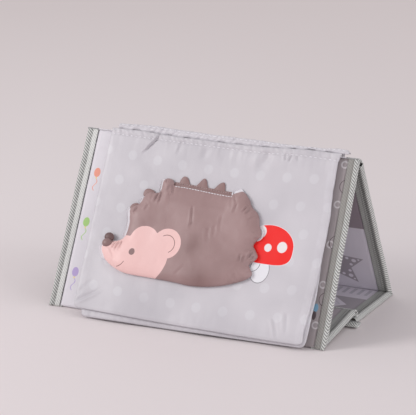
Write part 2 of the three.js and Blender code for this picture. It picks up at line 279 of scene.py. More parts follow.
@dataclass(frozen=True)
class SmoothLine:
    """A smooth line through given points, open or closed, read by share of its points."""

    points: Line
    closed: bool = False
    unit: float = MM

    def at(self, share: float) -> Point:
        """Returns the point at a share from 0 to 1 of the way along."""
        count = len(self.points)
        spans = count if self.closed else count - 1
        place = min(max(share, 0.0), 1.0) * spans
        start = min(int(place), spans - 1)
        t = place - start
        if self.closed:
            near = [self.points[(start + step) % count] for step in (-1, 0, 1, 2)]
        else:
            near = [self.points[min(max(start + step, 0), count - 1)] for step in (-1, 0, 1, 2)]
        found = []
        for a, b, c, d in zip(*near):
            bend = (2 * a - 5 * b + 4 * c - d) * t**2 + (3 * b - a - 3 * c + d) * t**3
            found.append(self.unit * 0.5 * (2 * b + (c - a) * t + bend))
        return found[0], found[1]

    def offset(self, share: float, distance: float) -> Point:
        """Returns the point beside the line, to the left of its direction for a positive distance."""
        step = 0.002
        before, after = self.at(max(share - step, 0.0)), self.at(min(share + step, 1.0))
        run = (Vector(after) - Vector(before)).normalized()
        here = self.at(share)
        return here[0] - run.y * distance, here[1] + run.x * distance


class Rim:
    """A closed outline walked at an even pace, which knows how near any point is to it."""

    def __init__(self, line: SmoothLine, count: int = 1400) -> None:
        """Walks the line.

        Args:
            line: The outline.
            count: Number of even steps.
        """
        fine = 6 * count
        dense = [Vector(line.at(index / fine)) for index in range(fine + 1)]
        reach = [0.0]
        for a, b in zip(dense, dense[1:]):
            reach.append(reach[-1] + (b - a).length)
        self.length = reach[-1]
        self.points: list[Vector] = []
        place = 0
        for index in range(count):
            goal = self.length * index / count
            while reach[place + 1] < goal:
                place += 1
            share = (goal - reach[place]) / (reach[place + 1] - reach[place])
            self.points.append(dense[place].lerp(dense[place + 1], share))
        self.tree = kdtree.KDTree(count)
        for index, point in enumerate(self.points):
            self.tree.insert(point.to_3d(), index)
        self.tree.balance()

    def at(self, turn: float, inset: float = 0.0) -> Point:
        """Returns the point at a share of the way round, moved inward by the inset."""
        count = len(self.points)
        place = (turn % 1.0) * count
        start = int(place) % count
        here = self.points[start].lerp(self.points[(start + 1) % count], place - int(place))
        if not inset:
            return here.x, here.y
        run = (self.points[(start + 6) % count] - self.points[start - 6]).normalized()
        return here.x - run.y * inset, here.y + run.x * inset

    def nearest(self, x: float, y: float) -> tuple[float, float]:
        """Returns how far a point is from the outline, and how far round the nearest place on it is."""
        _, index, distance = self.tree.find(Vector((x, y, 0)))
        return distance, index / len(self.points) * self.length


# ---- Materials


class Signal:
    """A number socket that takes part in arithmetic by adding Math nodes."""

    def __init__(self, shader: "Shader", socket: bpy.types.NodeSocket) -> None:
        """Keeps the socket and the shader that it belongs to."""
        self.shader = shader
        self.socket = socket

    def math(self, operation: str, *values: object, clamp: bool = False) -> "Signal":
        """Adds a Math node over this class's values or plain numbers.

        Args:
            operation: The Math node's operation.
            values: Its inputs, in order.
            clamp: Whether the result is held from 0 to 1.

        Returns:
            The result.
        """
        settings = {"operation": operation, "use_clamp": clamp}
        made = self.shader.node("ShaderNodeMath", settings, dict(enumerate(values)))
        return Signal(self.shader, made.outputs[0])

    def __add__(self, other: object) -> "Signal":
        """Returns the sum."""
        return self.math("ADD", self, other)

    __radd__ = __add__

    def __sub__(self, other: object) -> "Signal":
        """Returns this less the other."""
        return self.math("SUBTRACT", self, other)

    def __rsub__(self, other: object) -> "Signal":
        """Returns the other less this."""
        return self.math("SUBTRACT", other, self)

    def __mul__(self, other: object) -> "Signal":
        """Returns the product."""
        return self.math("MULTIPLY", self, other)

    __rmul__ = __mul__

    def __truediv__(self, other: object) -> "Signal":
        """Returns the quotient."""
        return self.math("DIVIDE", self, other)

    def __pow__(self, other: object) -> "Signal":
        """Returns this to a power."""
        return self.math("POWER", self, other)

    def absolute(self) -> "Signal":
        """Returns the absolute value."""
        return self.math("ABSOLUTE", self)

    def wave(self, length: float) -> "Signal":
        """Returns a sine from 0 to 1 that repeats over the given length."""
        return self.math("SINE", self * (2 * math.pi / length)) * 0.5 + 0.5

    def nearest(self, pitch: float) -> "Signal":
        """Returns the signed distance from the nearest multiple of pitch."""
        return self - self.math("ROUND", self / pitch) * pitch

    def at_most(self, other: object) -> "Signal":
        """Returns the lesser of the two."""
        return self.math("MINIMUM", self, other)

    def at_least(self, other: object) -> "Signal":
        """Returns the greater of the two."""
        return self.math("MAXIMUM", self, other)

    def held(self) -> "Signal":
        """Returns this held from 0 to 1."""
        return self.at_most(1).at_least(0)

    def inside(self, edge: float, soft: float = 0.15) -> "Signal":
        """Returns 1 where this is below edge and 0 above it, over a soft border."""
        return self.math("ADD", (edge - self) / soft, 0.5, clamp=True)

    def above(self, edge: float, soft: float = 0.15) -> "Signal":
        """Returns 1 where this is above edge and 0 below it, over a soft border."""
        return (0 - self).inside(-edge, soft)


def least(first: Signal, *others: Signal) -> Signal:
    """Returns the least of some values."""
    for other in others:
        first = first.at_most(other)
    return first


def out_of_circle(across: Signal, up: Signal, centre: Point, radius: float = 0.0) -> Signal:
    """Returns how far a place is out of a circle, or from its centre without a radius, in millimetres."""
    return ((across - centre[0]) ** 2 + (up - centre[1]) ** 2) ** 0.5 - radius


def out_of_oval(across: Signal, up: Signal, oval: Oval) -> Signal:
    """Returns about how far a place on the cloth is out of an oval, in millimetres.

    Args:
        across: The flat coordinate across.
        up: The flat coordinate up.
        oval: The oval's centre and its two radii.

    Returns:
        The distance, below zero inside.
    """
    centre, radii = oval
    share = (((across - centre[0]) / radii[0]) ** 2 + ((up - centre[1]) / radii[1]) ** 2) ** 0.5
    return (share - 1) * min(radii)


class Shader:
    """One material's node tree around its Principled shader."""

    def __init__(self, name: str, roughness: float, **fixed: float | Colour) -> None:
        """Starts a material.

        Args:
            name: The material's name.
            roughness: Its plain roughness.
            fixed: Other sockets that are the same all over, by name with _ for each space.
        """
        self.material = bpy.data.materials.new(name)
        self.material.use_nodes = True
        self.tree = self.material.node_tree
        self.surface = self.tree.nodes["Principled BSDF"]
        self.surface.inputs["Roughness"].default_value = roughness
        for key, value in fixed.items():
            self.surface.inputs[key.replace("_", " ")].default_value = value
        self.bumps: bpy.types.NodeSocket | None = None

    def node(
        self, kind: str, settings: dict[str, object] | None = None, inputs: dict | None = None
    ) -> bpy.types.Node:
        """Adds a node.

        Args:
            kind: The node's type.
            settings: Its properties, set first.
            inputs: Values or links for its sockets, by index or name.

        Returns:
            The node.
        """
        made = self.tree.nodes.new(kind)
        for key, value in (settings or {}).items():
            setattr(made, key, value)
        for key, value in (inputs or {}).items():
            source = value.socket if isinstance(value, Signal) else value
            if isinstance(source, bpy.types.NodeSocket):
                self.tree.links.new(source, made.inputs[key])
            else:
                made.inputs[key].default_value = source
        return made

    def flat(self) -> tuple[Signal, Signal]:
        """Returns the piece's flat cloth coordinates, in millimetres."""
        uv = self.node("ShaderNodeUVMap", {"uv_map": "UVMap"})
        split = self.node("ShaderNodeSeparateXYZ", inputs={0: uv.outputs[0]})
        return Signal(self, split.outputs[0]) * 1000, Signal(self, split.outputs[1]) * 1000

    def attribute(self, name: str) -> Signal:
        """Returns one of the mesh's own number attributes."""
        made = self.node("ShaderNodeAttribute", {"attribute_name": name})
        return Signal(self, made.outputs["Fac"])

    def cloud(self, size: float, detail: float = 2.0) -> Signal:
        """Returns noise from 0 to 1 over the object, with patches of the given size in metres."""
        where = self.node("ShaderNodeTexCoord").outputs["Object"]
        made = self.node("ShaderNodeTexNoise", inputs={"Vector": where, "Scale": 1 / size, "Detail": detail})
        return Signal(self, made.outputs["Fac"])

    def mix(self, share: Signal, low: object, high: object) -> bpy.types.NodeSocket:
        """Returns the colour between two colours at a share."""
        made = self.node("ShaderNodeMix", {"data_type": "RGBA"}, {0: share, 6: low, 7: high})
        return made.outputs[2]

    def printed(self, base: object, *inks: tuple[Signal, object]) -> object:
        """Returns the base colour with inks over it in turn, each where its mask is 1.

        Args:
            base: The colour under them.
            inks: Masks and colours, in order.

        Returns:
            The colour.
        """
        for mask, ink in inks:
            base = self.mix(mask, base, ink)
        return base

    def bump(self, height: Signal, depth: float, strength: float = 1.0) -> None:
        """Adds relief of the given depth in metres to the surface's normal.

        Args:
            height: The relief, from 0 to 1.
            depth: Its depth.
            strength: How strongly it shows.
        """
        inputs = {"Height": height, "Distance": depth, "Strength": strength}
        if self.bumps is not None:
            inputs["Normal"] = self.bumps
        self.bumps = self.node("ShaderNodeBump", inputs=inputs).outputs["Normal"]

    def finish(self, base: object, roughness: Signal | None = None) -> bpy.types.Material:
        """Joins what changes over the surface to the shader.

        Args:
            base: The base colour.
            roughness: The roughness, where it changes.

        Returns:
            The material.
        """
        if isinstance(base, bpy.types.NodeSocket):
            self.tree.links.new(base, self.surface.inputs["Base Color"])
        else:
            self.surface.inputs["Base Color"].default_value = base
        if roughness is not None:
            self.tree.links.new(roughness.socket, self.surface.inputs["Roughness"])
        if self.bumps is not None:
            self.tree.links.new(self.bumps, self.surface.inputs["Normal"])
        return self.material

    def weave(self, pitch: float, depth: float) -> None:
        """Adds the relief of a plain weave with the given thread pitch in millimetres."""
        across, up = self.flat()
        threads = across.wave(pitch) * up.wave(pitch) + (1 - across.wave(pitch)) * (1 - up.wave(pitch))
        self.bump(threads, depth, 0.5)


@dataclass(frozen=True)
class SatinPage:
    """Pale satin with a lattice of paler dots, and a toadstool printed on the outer page."""

    width: float
    cloth: Colour = colour(207, 203, 208)
    shade: Colour = colour(186, 182, 188)
    allowance: Colour = colour(215, 212, 217)
    dot: Colour = colour(228, 229, 233)
    cap: Colour = colour(240, 29, 25)
    spot: Colour = colour(236, 228, 229)
    stalk: Colour = colour(230, 229, 234)
    outline: Colour = colour(120, 116, 122)
    dot_pitch: float = 27.0
    row_pitch: float = 25.4
    odd_shift: float = 8.4
    dot_phase: Point = (26.1, 145.35)
    dot_radius: float = 4.6
    row_scale: float = 0.987
    row_lean: float = 0.0069
    right_stretch: float = 0.024
    bow_middle: float = 18.0
    bow_spread: float = 2150.0
    middle_row: float = 2.5
    allowance_width: float = 7.6
    stalk_oval: Oval = ((69.2, 61.5), (9.4, 12.0))
    skirt_oval: Oval = ((60.6, 67.4), (8.0, 8.4))
    cap_oval: Oval = ((73.0, 84.0), (24.2, 19.8))
    brim_depth: float = 16.4
    brim_power: float = 3.4
    brim_root: float = 0.294
    cap_spots: tuple[Oval, ...] = (
        ((72.8, 82.8), (3.5, 3.7)),
        ((86.3, 84.9), (4.8, 5.1)),
        ((63.5, 96.5), (4.8, 5.8)),
    )

    def dots(self, across: Signal, up: Signal) -> Signal:
        """Returns the mask of the printed dots, whose rows bow and drift a little, as printed cloth does.

        Args:
            across: The flat coordinate across.
            up: The flat coordinate up.

        Returns:
            The mask.
        """
        bow = (across - self.bow_middle) ** 2 / self.bow_spread
        below = self.dot_phase[1] - up * self.row_scale + bow
        row = below.math("ROUND", below / self.row_pitch)
        odd = row.math("MODULO", row, 2).absolute()
        side = across + across.at_least(0) * self.right_stretch + up * self.row_lean - self.dot_phase[0]
        side = (side + odd * self.odd_shift).nearest(self.dot_pitch)
        drop = below - row * self.row_pitch
        printed_rows = (row - self.middle_row).absolute().inside(self.middle_row + 0.2, 0.1)
        return ((side**2 + drop**2) ** 0.5).inside(self.dot_radius, 1.3) * printed_rows

    def toadstool(self, shader: Shader, across: Signal, up: Signal, base: object) -> object:
        """Returns the base colour with the toadstool printed over it, on the cloth's outer face.

        Args:
            shader: The material's shader.
            across: The flat coordinate across.
            up: The flat coordinate up.
            base: The colour under the print.

        Returns:
            The printed colour.
        """
        front = shader.attribute("facing")
        stalk = out_of_oval(across, up, self.stalk_oval)
        skirt = out_of_oval(across, up, self.skirt_oval).absolute()
        middle, radii = self.cap_oval
        side, rise = (across - middle[0]) / radii[0], up - middle[1]
        dome = out_of_oval(across, up, self.cap_oval)
        square = side.absolute() ** self.brim_power + (rise / self.brim_depth).absolute() ** self.brim_power
        brim = (square**self.brim_root - 1) * self.brim_depth
        upper = rise.above(0, 0.05)
        cap = dome * upper + brim * (1 - upper)
        spots = least(*(out_of_oval(across, up, oval) for oval in self.cap_spots))
        return shader.printed(
            base,
            (stalk.inside(0.25) * front, self.outline),
            (stalk.inside(-0.25) * front, self.stalk),
            (skirt.inside(0.28) * stalk.inside(0) * front, self.outline),
            (cap.inside(0.35) * front, self.stalk),
            (cap.inside(0) * front, self.cap),
            (spots.inside(0, 0.5) * cap.inside(0) * front, self.spot),
        )

    def build(self, name: str, printed: bool) -> bpy.types.Material:
        """Makes the material.

        Args:
            name: Its name.
            printed: Whether the toadstool is on it.

        Returns:
            The material.
        """
        shader = Shader(name, 0.42, Sheen_Weight=0.12, Sheen_Roughness=0.4, Specular_IOR_Level=0.35)
        across, up = shader.flat()
        share = shader.attribute("along")
        edge = share.at_most(1 - share) * self.width
        base = shader.mix((shader.cloud(0.055) * 1.8 - 0.3).held(), self.shade, self.cloth)
        crinkle = (shader.cloud(0.009, 3.0) * 2.0 - 0.6).held() * edge.inside(self.allowance_width, 1.8)
        base = shader.mix(crinkle * (0.1 + shader.cloud(0.02) * 0.7), base, self.allowance)
        base = shader.mix(self.dots(across, up) * (0.02 + shader.cloud(0.05) * 0.34), base, self.dot)
        if printed:
            base = self.toadstool(shader, across, up, base)
        shader.bump(shader.cloud(0.006, 3.0) + edge.inside(self.allowance_width, 2.0) * 0.1, 0.3 * MM, 0.4)
        shader.weave(0.7, 0.02 * MM)
        return shader.finish(base, shader.cloud(0.01) * 0.16 + 0.36)


@dataclass(frozen=True)
class PrintedCloth:
    """Smooth cotton with one of the panels' prints."""

    motif: Motif
    ground: Colour
    shade: Colour
    inks: tuple[Colour, ...]
    # Printed border of the right margin, darkened further as painted shade from the pages beside it.
    shaded_border: Colour = colour(165, 156, 158)
    rings: Colour = colour(206, 201, 204)
    arcs: Colour = colour(96, 84, 88)
    balloon_start: Point = (-119.5, 34.0)
    balloon_pitch: Point = (60.5, 49.0)
    balloon_slip: float = 19.0
    balloon_edge: float = 52.0
    balloon_oval: Oval = ((0.0, 0.0), (3.4, 4.6))
    knot: Circle = ((0.0, -5.4), 1.2)
    string_width: float = 0.42
    string_swing: float = 3.4
    string_wave: float = 12.0
    string_ends: tuple[float, float] = (-18.0, -5.6)
    margin_from: float = 121.0
    chip_oval: Oval = ((125.0, 35.6), (2.4, 3.8))
    mark_oval: Oval = ((124.6, 28.4), (1.9, 4.0))
    ring_circle: Circle = ((127.6, 0.0), 2.9)
    ring_start: float = 20.0
    ring_pitch: float = 37.0
    arc_circle: Circle = ((133.0, 0.0), 6.4)
    arc_start: float = 44.0
    arc_pitch: float = 52.0
    star: Circle = ((90.2, 33.4), 31.0)
    star_pitch: float = 88.0
    star_turn: float = 19.5
    star_waist: float = 0.49
    star_spots: tuple[Circle, ...] = (((20.0, 0.0), 2.4), ((14.5, 4.5), 1.7), ((25.4, 0.0), 1.1))
    band_from: float = 88.0
    bar_pitch: float = 7.6
    bar_width: float = 3.4
    border_middle: float = 12.0
    border_width: float = 18.0
    diamond: Circle = ((96.0, 57.0), 22.0)
    diamond_pitch: float = 52.0
    diamond_line: float = 14.0
    field_from: float = 33.0

    def balloons(self, shader: Shader, across: Signal, up: Signal, base: object) -> object:
        """Returns the base colour with a loose scatter of small balloons, and rings beside the right tape.

        Args:
            shader: The material's shader.
            across: The flat coordinate across.
            up: The flat coordinate up.
            base: The colour under the print.

        Returns:
            The printed colour.
        """
        (start_across, start_up), (pitch_across, pitch_up) = self.balloon_start, self.balloon_pitch
        column = across.math("ROUND", (across - start_across) / pitch_across)
        side = across - start_across - column * pitch_across
        slipped = up - start_up + column * self.balloon_slip
        row = up.math("ROUND", slipped / pitch_up)
        lift = slipped - row * pitch_up
        whole = row.inside(2.5, 0.1) * across.inside(self.balloon_edge, 0.1)
        body = out_of_oval(side, lift, self.balloon_oval).inside(0) * whole
        knot = (side.absolute() * 1.4 + (lift - self.knot[0][1]).absolute()).inside(self.knot[1]) * whole
        swing = (side - (lift.wave(self.string_wave) - 0.5) * self.string_swing).absolute()
        hanging = lift.inside(self.string_ends[1]) * lift.above(self.string_ends[0])
        string = swing.inside(self.string_width) * hanging * whole
        *balloon_inks, chip, tie = self.inks
        pick = column.math("MODULO", (column * 2 + row + 40), len(balloon_inks) + 1)
        for index, ink in enumerate(balloon_inks + [tie]):
            chosen = (pick - index).absolute().inside(0.5)
            base = shader.printed(base, (body * chosen, ink), (string * chosen, ink))
        margin = across.above(self.margin_from)
        ring = out_of_circle(across, (up - self.ring_start).nearest(self.ring_pitch), *self.ring_circle)
        arc = out_of_circle(across, (up - self.arc_start).nearest(self.arc_pitch), *self.arc_circle)
        return shader.printed(
            base,
            (knot, tie),
            # Right margin: printed border, darker as painted shade from the pages.
            (margin, self.shaded_border),
            (out_of_oval(across, up, self.chip_oval).inside(0), chip),
            (out_of_oval(across, up, self.mark_oval).inside(0), self.arcs),
            (ring.absolute().inside(0.7, 0.5) * margin, self.rings),
            (arc.absolute().inside(0.3) * margin, self.arcs),
        )

    def stars(self, shader: Shader, across: Signal, up: Signal, base: object) -> object:
        """Returns the base colour with a dark upper band and big dark stars with pale spots.

        Args:
            shader: The material's shader.
            across: The flat coordinate across.
            up: The flat coordinate up.
            base: The colour under the print.

        Returns:
            The printed colour.
        """
        (middle_across, middle_up), radius = self.star
        side = (across - middle_across).nearest(self.star_pitch)
        rise = up - middle_up
        sector = math.radians(72)
        turn = side.math("ARCTAN2", rise, side) + (4 * sector - math.radians(self.star_turn))
        folded = turn.nearest(sector).absolute()
        reach = out_of_circle(side, rise, (0, 0))
        point = (reach * folded.math("COSINE", folded), reach * folded.math("SINE", folded))
        waist = radius * self.star_waist
        run = (waist * math.sin(sector / 2), radius - waist * math.cos(sector / 2))
        edge = (point[0] * run[0] + point[1] * run[1] - radius * run[0]) / math.hypot(*run)
        star = edge.inside(0, 0.4)
        spots = least(*(out_of_circle(*point, *spot) for spot in self.star_spots))
        inks = ((star, self.inks[0]), (spots.inside(0, 0.3) * star, self.ground))
        return shader.printed(base, *inks, (up.above(self.band_from, 0.6), self.inks[1]))

    def stripes(self, shader: Shader, across: Signal, up: Signal, base: object) -> object:
        """Returns the base colour with a striped border along the fold and a dark field with pale points.

        Args:
            shader: The material's shader.
            across: The flat coordinate across.
            up: The flat coordinate up.
            base: The colour under the print.

        Returns:
            The printed colour.
        """
        bars = across.nearest(self.bar_pitch).absolute().inside(self.bar_width / 2, 0.4)
        bars = bars * (up - self.border_middle).absolute().inside(self.border_width / 2, 0.4)
        (middle_across, middle_up), size = self.diamond
        lean = (across - middle_across).nearest(self.diamond_pitch)
        reach = lean.absolute() * 1.1 + (up - middle_up).absolute()
        points = reach.inside(size, 0.5)
        lines = (reach - self.diamond_line).absolute().inside(0.5, 0.4)
        return shader.printed(
            base,
            (bars, self.inks[0]),
            (up.above(self.field_from, 0.5), self.inks[1]),
            (points, self.ground),
            (lines * points, self.inks[0]),
        )

    def build(self, name: str) -> bpy.types.Material:
        """Makes the material.

        Args:
            name: Its name.

        Returns:
            The material.
        """
        shader = Shader(name, 0.6, Sheen_Weight=0.15, Specular_IOR_Level=0.3)
        across, up = shader.flat()
        base = shader.mix(shader.cloud(0.03), self.shade, self.ground)
        prints = {Motif.BALLOONS: self.balloons, Motif.STARS: self.stars, Motif.STRIPES: self.stripes}
        if self.motif in prints:
            base = prints[self.motif](shader, across, up, base)
        shader.bump(shader.cloud(0.012, 3.0), 0.4 * MM, 0.4)
        shader.weave(0.6, 0.03 * MM)
        return shader.finish(base, shader.cloud(0.008) * 0.15 + 0.55)


@dataclass(frozen=True)
class TwillTape:
    """Grey binding tape: pale diagonal ribs with painted shade in the grooves between them and a thin painted shade
    line along both long edges; it can also carry painted shadow on the strip beside the cloth and painted shade on
    the part inside the panel.
    """

    rib: Colour = colour(238, 239, 236)
    # Painted shade in the grooves between the ribs.
    groove: Colour = colour(108, 110, 107)
    soil: Colour = colour(216, 216, 213)
    # Painted shade line along both long edges, where the tape meets the cloth.
    edge: Colour = colour(146, 144, 147)
    # Painted shade tone for the shadowed strip and for the inner part.
    shade_tone: Colour = colour(118, 113, 108)
    # How strongly painted shadow darkens the strip beside the cloth.
    strip_shadow: float = 0.0
    # How strongly painted shade darkens the part of the tape on the inner face, inside the tent.
    inner_shade: float = 0.0
    pitch: float = 2.75
    thread_pitch: float = 0.9
    slant: float = 0.8

    def build(self, name: str) -> bpy.types.Material:
        """Makes the material.

        Args:
            name: Its name.

        Returns:
            The material.
        """
        shader = Shader(name, 0.82, Sheen_Weight=0.15, Specular_IOR_Level=0.25)
        along, beside = shader.flat()
        wander = (shader.cloud(0.004) - 0.5) * 0.35
        ribs = (along + beside * self.slant + wander).wave(self.pitch)
        threads = (along - beside + wander).wave(self.thread_pitch)
        share = shader.attribute("beside")
        rim = share.at_most(1 - share)
        pressed = rim.inside(0.2, 0.08) * 0.66
        tone = shader.mix(shader.cloud(0.02), self.soil, self.rib)
        relief = (ribs * 0.88 + 0.12 * threads) * (1 - pressed) + pressed
        # Painted shade: the base darkens between the ribs.
        base = shader.mix(relief, self.groove, tone)
        # Painted shadow of the pages on the strip beside the cloth.
        if self.strip_shadow:
            base = shader.mix(share.inside(0.22, 0.03) * self.strip_shadow, base, self.shade_tone)
        # Painted shade on the part of the tape that faces into the tent.
        if self.inner_shade:
            base = shader.mix((1 - share).inside(0.4, 0.04) * self.inner_shade, base, self.shade_tone)
        # Painted shade line along both long edges.
        base = shader.mix(rim.inside(0.012, 0.012) * 0.8, base, self.edge)
        shader.bump(ribs * 0.85 + threads * 0.15, 0.35 * MM, 0.8)
        return shader.finish(base, ribs * -0.1 + 0.88)


@dataclass(frozen=True)
class HedgehogSatin:
    """Brown satin with the printed pink face, eye, smile and ear line."""

    fur: Colour = colour(164, 136, 135)
    shade: Colour = colour(132, 103, 101)
    pink: Colour = colour(241, 203, 200)
    blush: Colour = colour(236, 192, 188)
    line: Colour = colour(122, 84, 80)
    dark: Colour = colour(140, 113, 112)
    # Two soft patches where the fur is darker.
    darker_middle: Circle = ((4.0, -52.0), 14.0)
    darker_belly: Circle = ((18.0, -80.0), 14.0)
    brow: Circle = ((-44.8, -57.6), 15.5)
    cheek: Circle = ((-41.5, -70.0), 24.8)
    muzzle_corner: Point = (-53.0, -54.0)
    ear: Circle = ((-21.4, -54.6), 14.2)
    ear_line: Circle = ((-21.8, -55.0), 8.4)
    ear_sweep: tuple[float, float] = (33.4, 93.6)
    smile: Circle = ((-68.0, -74.5), 10.5)
    smile_sweep: tuple[float, float] = (-48.8, 26.0)
    eye: Oval = ((-53.1, -68.5), (3.0, 3.1))

    @staticmethod
    def thin_arc(across: Signal, up: Signal, circle: Circle, middle: float, half: float) -> Signal:
        """Returns the mask of a thin arc.

        Args:
            across: The flat coordinate across.
            up: The flat coordinate up.
            circle: The circle that it is part of, in millimetres.
            middle: The angle of its middle, in degrees.
            half: Half of the angle that it covers, in degrees.

        Returns:
            The mask.
        """
        centre, radius = circle
        turn = math.radians(middle)
        reach = out_of_circle(across, up, centre)
        ahead = (across - centre[0]) * math.cos(turn) + (up - centre[1]) * math.sin(turn)
        covered = (reach * math.cos(math.radians(half)) - ahead).inside(0, 0.3)
        return (reach - radius).absolute().inside(0.3, 0.3) * covered

    def build(self, name: str, face: bool) -> bpy.types.Material:
        """Makes the material.

        Args:
            name: Its name.
            face: Whether the face is printed on it.

        Returns:
            The material.
        """
        shader = Shader(name, 0.45, Sheen_Weight=0.15, Sheen_Roughness=0.35, Specular_IOR_Level=0.4)
        across, up = shader.flat()
        # Darker towards the middle and the belly.
        dark = out_of_circle(across, up, *self.darker_middle).inside(0, 26.0) * 0.85
        dark = dark + out_of_circle(across, up, *self.darker_belly).inside(0, 22.0) * 0.75
        tone = (shader.cloud(0.04) * 1.6 + 0.1 - dark).held()
        base = shader.mix(tone, self.shade, self.fur)
        if face:
            muzzle = (across - self.muzzle_corner[0]).at_least(up - self.muzzle_corner[1])
            brow, cheek, ear = (out_of_circle(across, up, *circle) for circle in (self.brow, self.cheek, self.ear))
            base = shader.printed(
                base,
                (least(brow, cheek, muzzle, ear).inside(0), shader.mix(shader.cloud(0.03), self.blush, self.pink)),
                (self.thin_arc(across, up, self.ear_line, *self.ear_sweep), self.line),
                (self.thin_arc(across, up, self.smile, *self.smile_sweep), self.line),
                (out_of_oval(across, up, self.eye).inside(0), self.dark),
            )
        shader.bump(shader.cloud(0.005, 3.0), 0.3 * MM, 0.4)
        shader.weave(0.7, 0.02 * MM)
        return shader.finish(base, shader.cloud(0.008) * 0.16 + 0.38)


@dataclass(frozen=True)
class PlainCloth:
    """Cloth, thread or board of one colour with a fine surface."""

    light: Colour
    dark: Colour
    roughness: float = 0.6
    grain: float = 0.004
    relief: float = 0.15 * MM

    def build(self, name: str) -> bpy.types.Material:
        """Makes the material.

        Args:
            name: Its name.

        Returns:
            The material.
        """
        shader = Shader(name, self.roughness, Sheen_Weight=0.15, Specular_IOR_Level=0.35)
        base = shader.mix(shader.cloud(self.grain * 3), self.dark, self.light)
        shader.bump(shader.cloud(self.grain, 4.0), self.relief, 0.6)
        return shader.finish(base, shader.cloud(self.grain) * 0.2 + (self.roughness - 0.1))


class Wardrobe:
    """Every finish of the book, made once."""

    def __init__(self) -> None:
        """Makes the materials."""
        self.page_one = SatinPage(236).build("page_satin_printed", printed=True)
        self.page_two = SatinPage(232).build("page_satin_dotted", printed=False)
        lilac, leaf, coral = colour(184, 166, 212), colour(168, 206, 128), colour(238, 160, 140)
        inks = (lilac, leaf, coral, colour(132, 176, 204), colour(236, 212, 120))
        pale, pale_shade = colour(226, 222, 228), colour(217, 213, 219)
        self.cover = PrintedCloth(Motif.BALLOONS, pale, pale_shade, inks).build("cover_print")
        grey, grey_shade = colour(222, 216, 226), colour(212, 206, 216)
        dark, wine = colour(162, 154, 162), colour(146, 134, 142)
        self.stars = PrintedCloth(Motif.STARS, grey, grey_shade, (dark, wine)).build("star_print")
        bars = (colour(186, 182, 192), dark)
        self.stripes = PrintedCloth(Motif.STRIPES, grey, grey_shade, bars).build("stripe_print")
        rose, rose_shade = colour(178, 168, 174), colour(166, 156, 163)
        self.inside = PrintedCloth(Motif.PLAIN, rose, rose_shade, ()).build("plain_inside")
        self.twill = TwillTape().build("twill_tape")
        # Tape with painted shadow of the pages on its strip beside the cloth.
        self.shadowed_twill = TwillTape(strip_shadow=0.72).build("shadowed_twill_tape")
        # Tape with painted shade on its part inside the tent.
        self.inner_shade_twill = TwillTape(inner_shade=0.55, shade_tone=colour(96, 98, 94)).build("inner_shade_twill_tape")
        self.plain_cover = PrintedCloth(Motif.PLAIN, pale, pale_shade, ()).build("plain_cover")
        self.face = HedgehogSatin().build("hedgehog_satin", face=True)
        self.fur = HedgehogSatin(colour(146, 117, 115), colour(128, 100, 99)).build("spike_satin", face=False)
        self.nose_dark = PlainCloth(colour(118, 92, 90), colour(100, 77, 76), 0.45).build("nose_satin_dark")
        # Lighter copy of the nose satin: painted highlight on the lower lobe.
        self.lit_nose = PlainCloth(colour(148, 120, 118), colour(132, 105, 104), 0.42).build("nose_satin")
        self.lining = PlainCloth(colour(240, 238, 243), colour(226, 224, 230), 0.6).build("white_lining")
        self.thread = PlainCloth(colour(243, 241, 245), colour(222, 219, 225), 0.7, 0.0008).build("white_thread")
        # Greyer thread, for the fainter row of stitches.
        self.greyer_thread = PlainCloth(colour(206, 190, 188), colour(178, 160, 158), 0.7, 0.0008).build("grey_thread")
        satin = PlainCloth(colour(214, 210, 215), colour(198, 194, 200), 0.45, 0.003, 0.25 * MM)
        self.satin = satin.build("plain_satin")
        self.board = PlainCloth(colour(150, 144, 136), colour(136, 130, 122), 0.9).build("greyboard")
        self.hooks = PlainCloth(colour(240, 240, 236), colour(216, 216, 212), 0.95, 0.0006).build("hook_and_loop")


def coat(piece: bpy.types.Object, material: bpy.types.Material) -> None:
    """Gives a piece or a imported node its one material."""
    piece.data.materials.clear()
    piece.data.materials.append(material)


def dress(
    piece: bpy.types.Object, material: bpy.types.Material, body: str, slot: str, *nodes: str
) -> bpy.types.Object:
    """Gives a finished piece its material and body, and hides the nodes that it stands for.

    Args:
        piece: The piece.
        material: Its material.
        body: The body that it rides on, or nothing to leave it unattached.
        slot: Not used.
        nodes: CAD nodes that it replaces.

    Returns:
        The piece.
    """
    coat(piece, material)
    if body:
        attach(piece, body)
    if nodes:
        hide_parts(*nodes)
    log.info("%s on %s, %d faces", piece.name, body or "two bodies", len(piece.data.polygons))
    return piece


@dataclass
class StitchRow:
    """A row of short thread stitches lying on a surface."""

    name: str
    line: Callable[[float], Vector]
    normal: Vector
    count: int
    length: float = 2.9 * MM
    width: float = 0.75 * MM
    height: float = 0.5 * MM
    seed: float = 0.0
    unevenness: float = 0.12

    def build(self) -> bpy.types.Object:
        """Returns one mesh with every stitch of the row."""
        mesh = bmesh.new()
        for index in range(self.count):
            share = (index + 0.5 + self.unevenness * ripple(index, 0, 1.7, self.seed)) / self.count
            centre = self.line(share)
            run = (self.line(share + 0.25 / self.count) - self.line(share - 0.25 / self.count)).normalized()
            turn = self.unevenness * ripple(index, 3, 1.3, self.seed)
            beside = self.normal.cross(run).normalized()
            run = (run + beside * turn).normalized()
            beside = self.normal.cross(run).normalized()
            rise = run.cross(beside)
            long = self.length * (1 + self.unevenness * ripple(index, 7, 1.1, self.seed)) / 2
            axes = (beside * (self.width / 2), rise * (self.height / 2), run * long)
            matrix = Matrix([[axis[row] for axis in axes] + [centre[row]] for row in range(3)] + [[0, 0, 0, 1]])
            bmesh.ops.create_uvsphere(mesh, u_segments=8, v_segments=5, radius=1, matrix=matrix)
        return link(mesh, self.name)


# ---- Panels

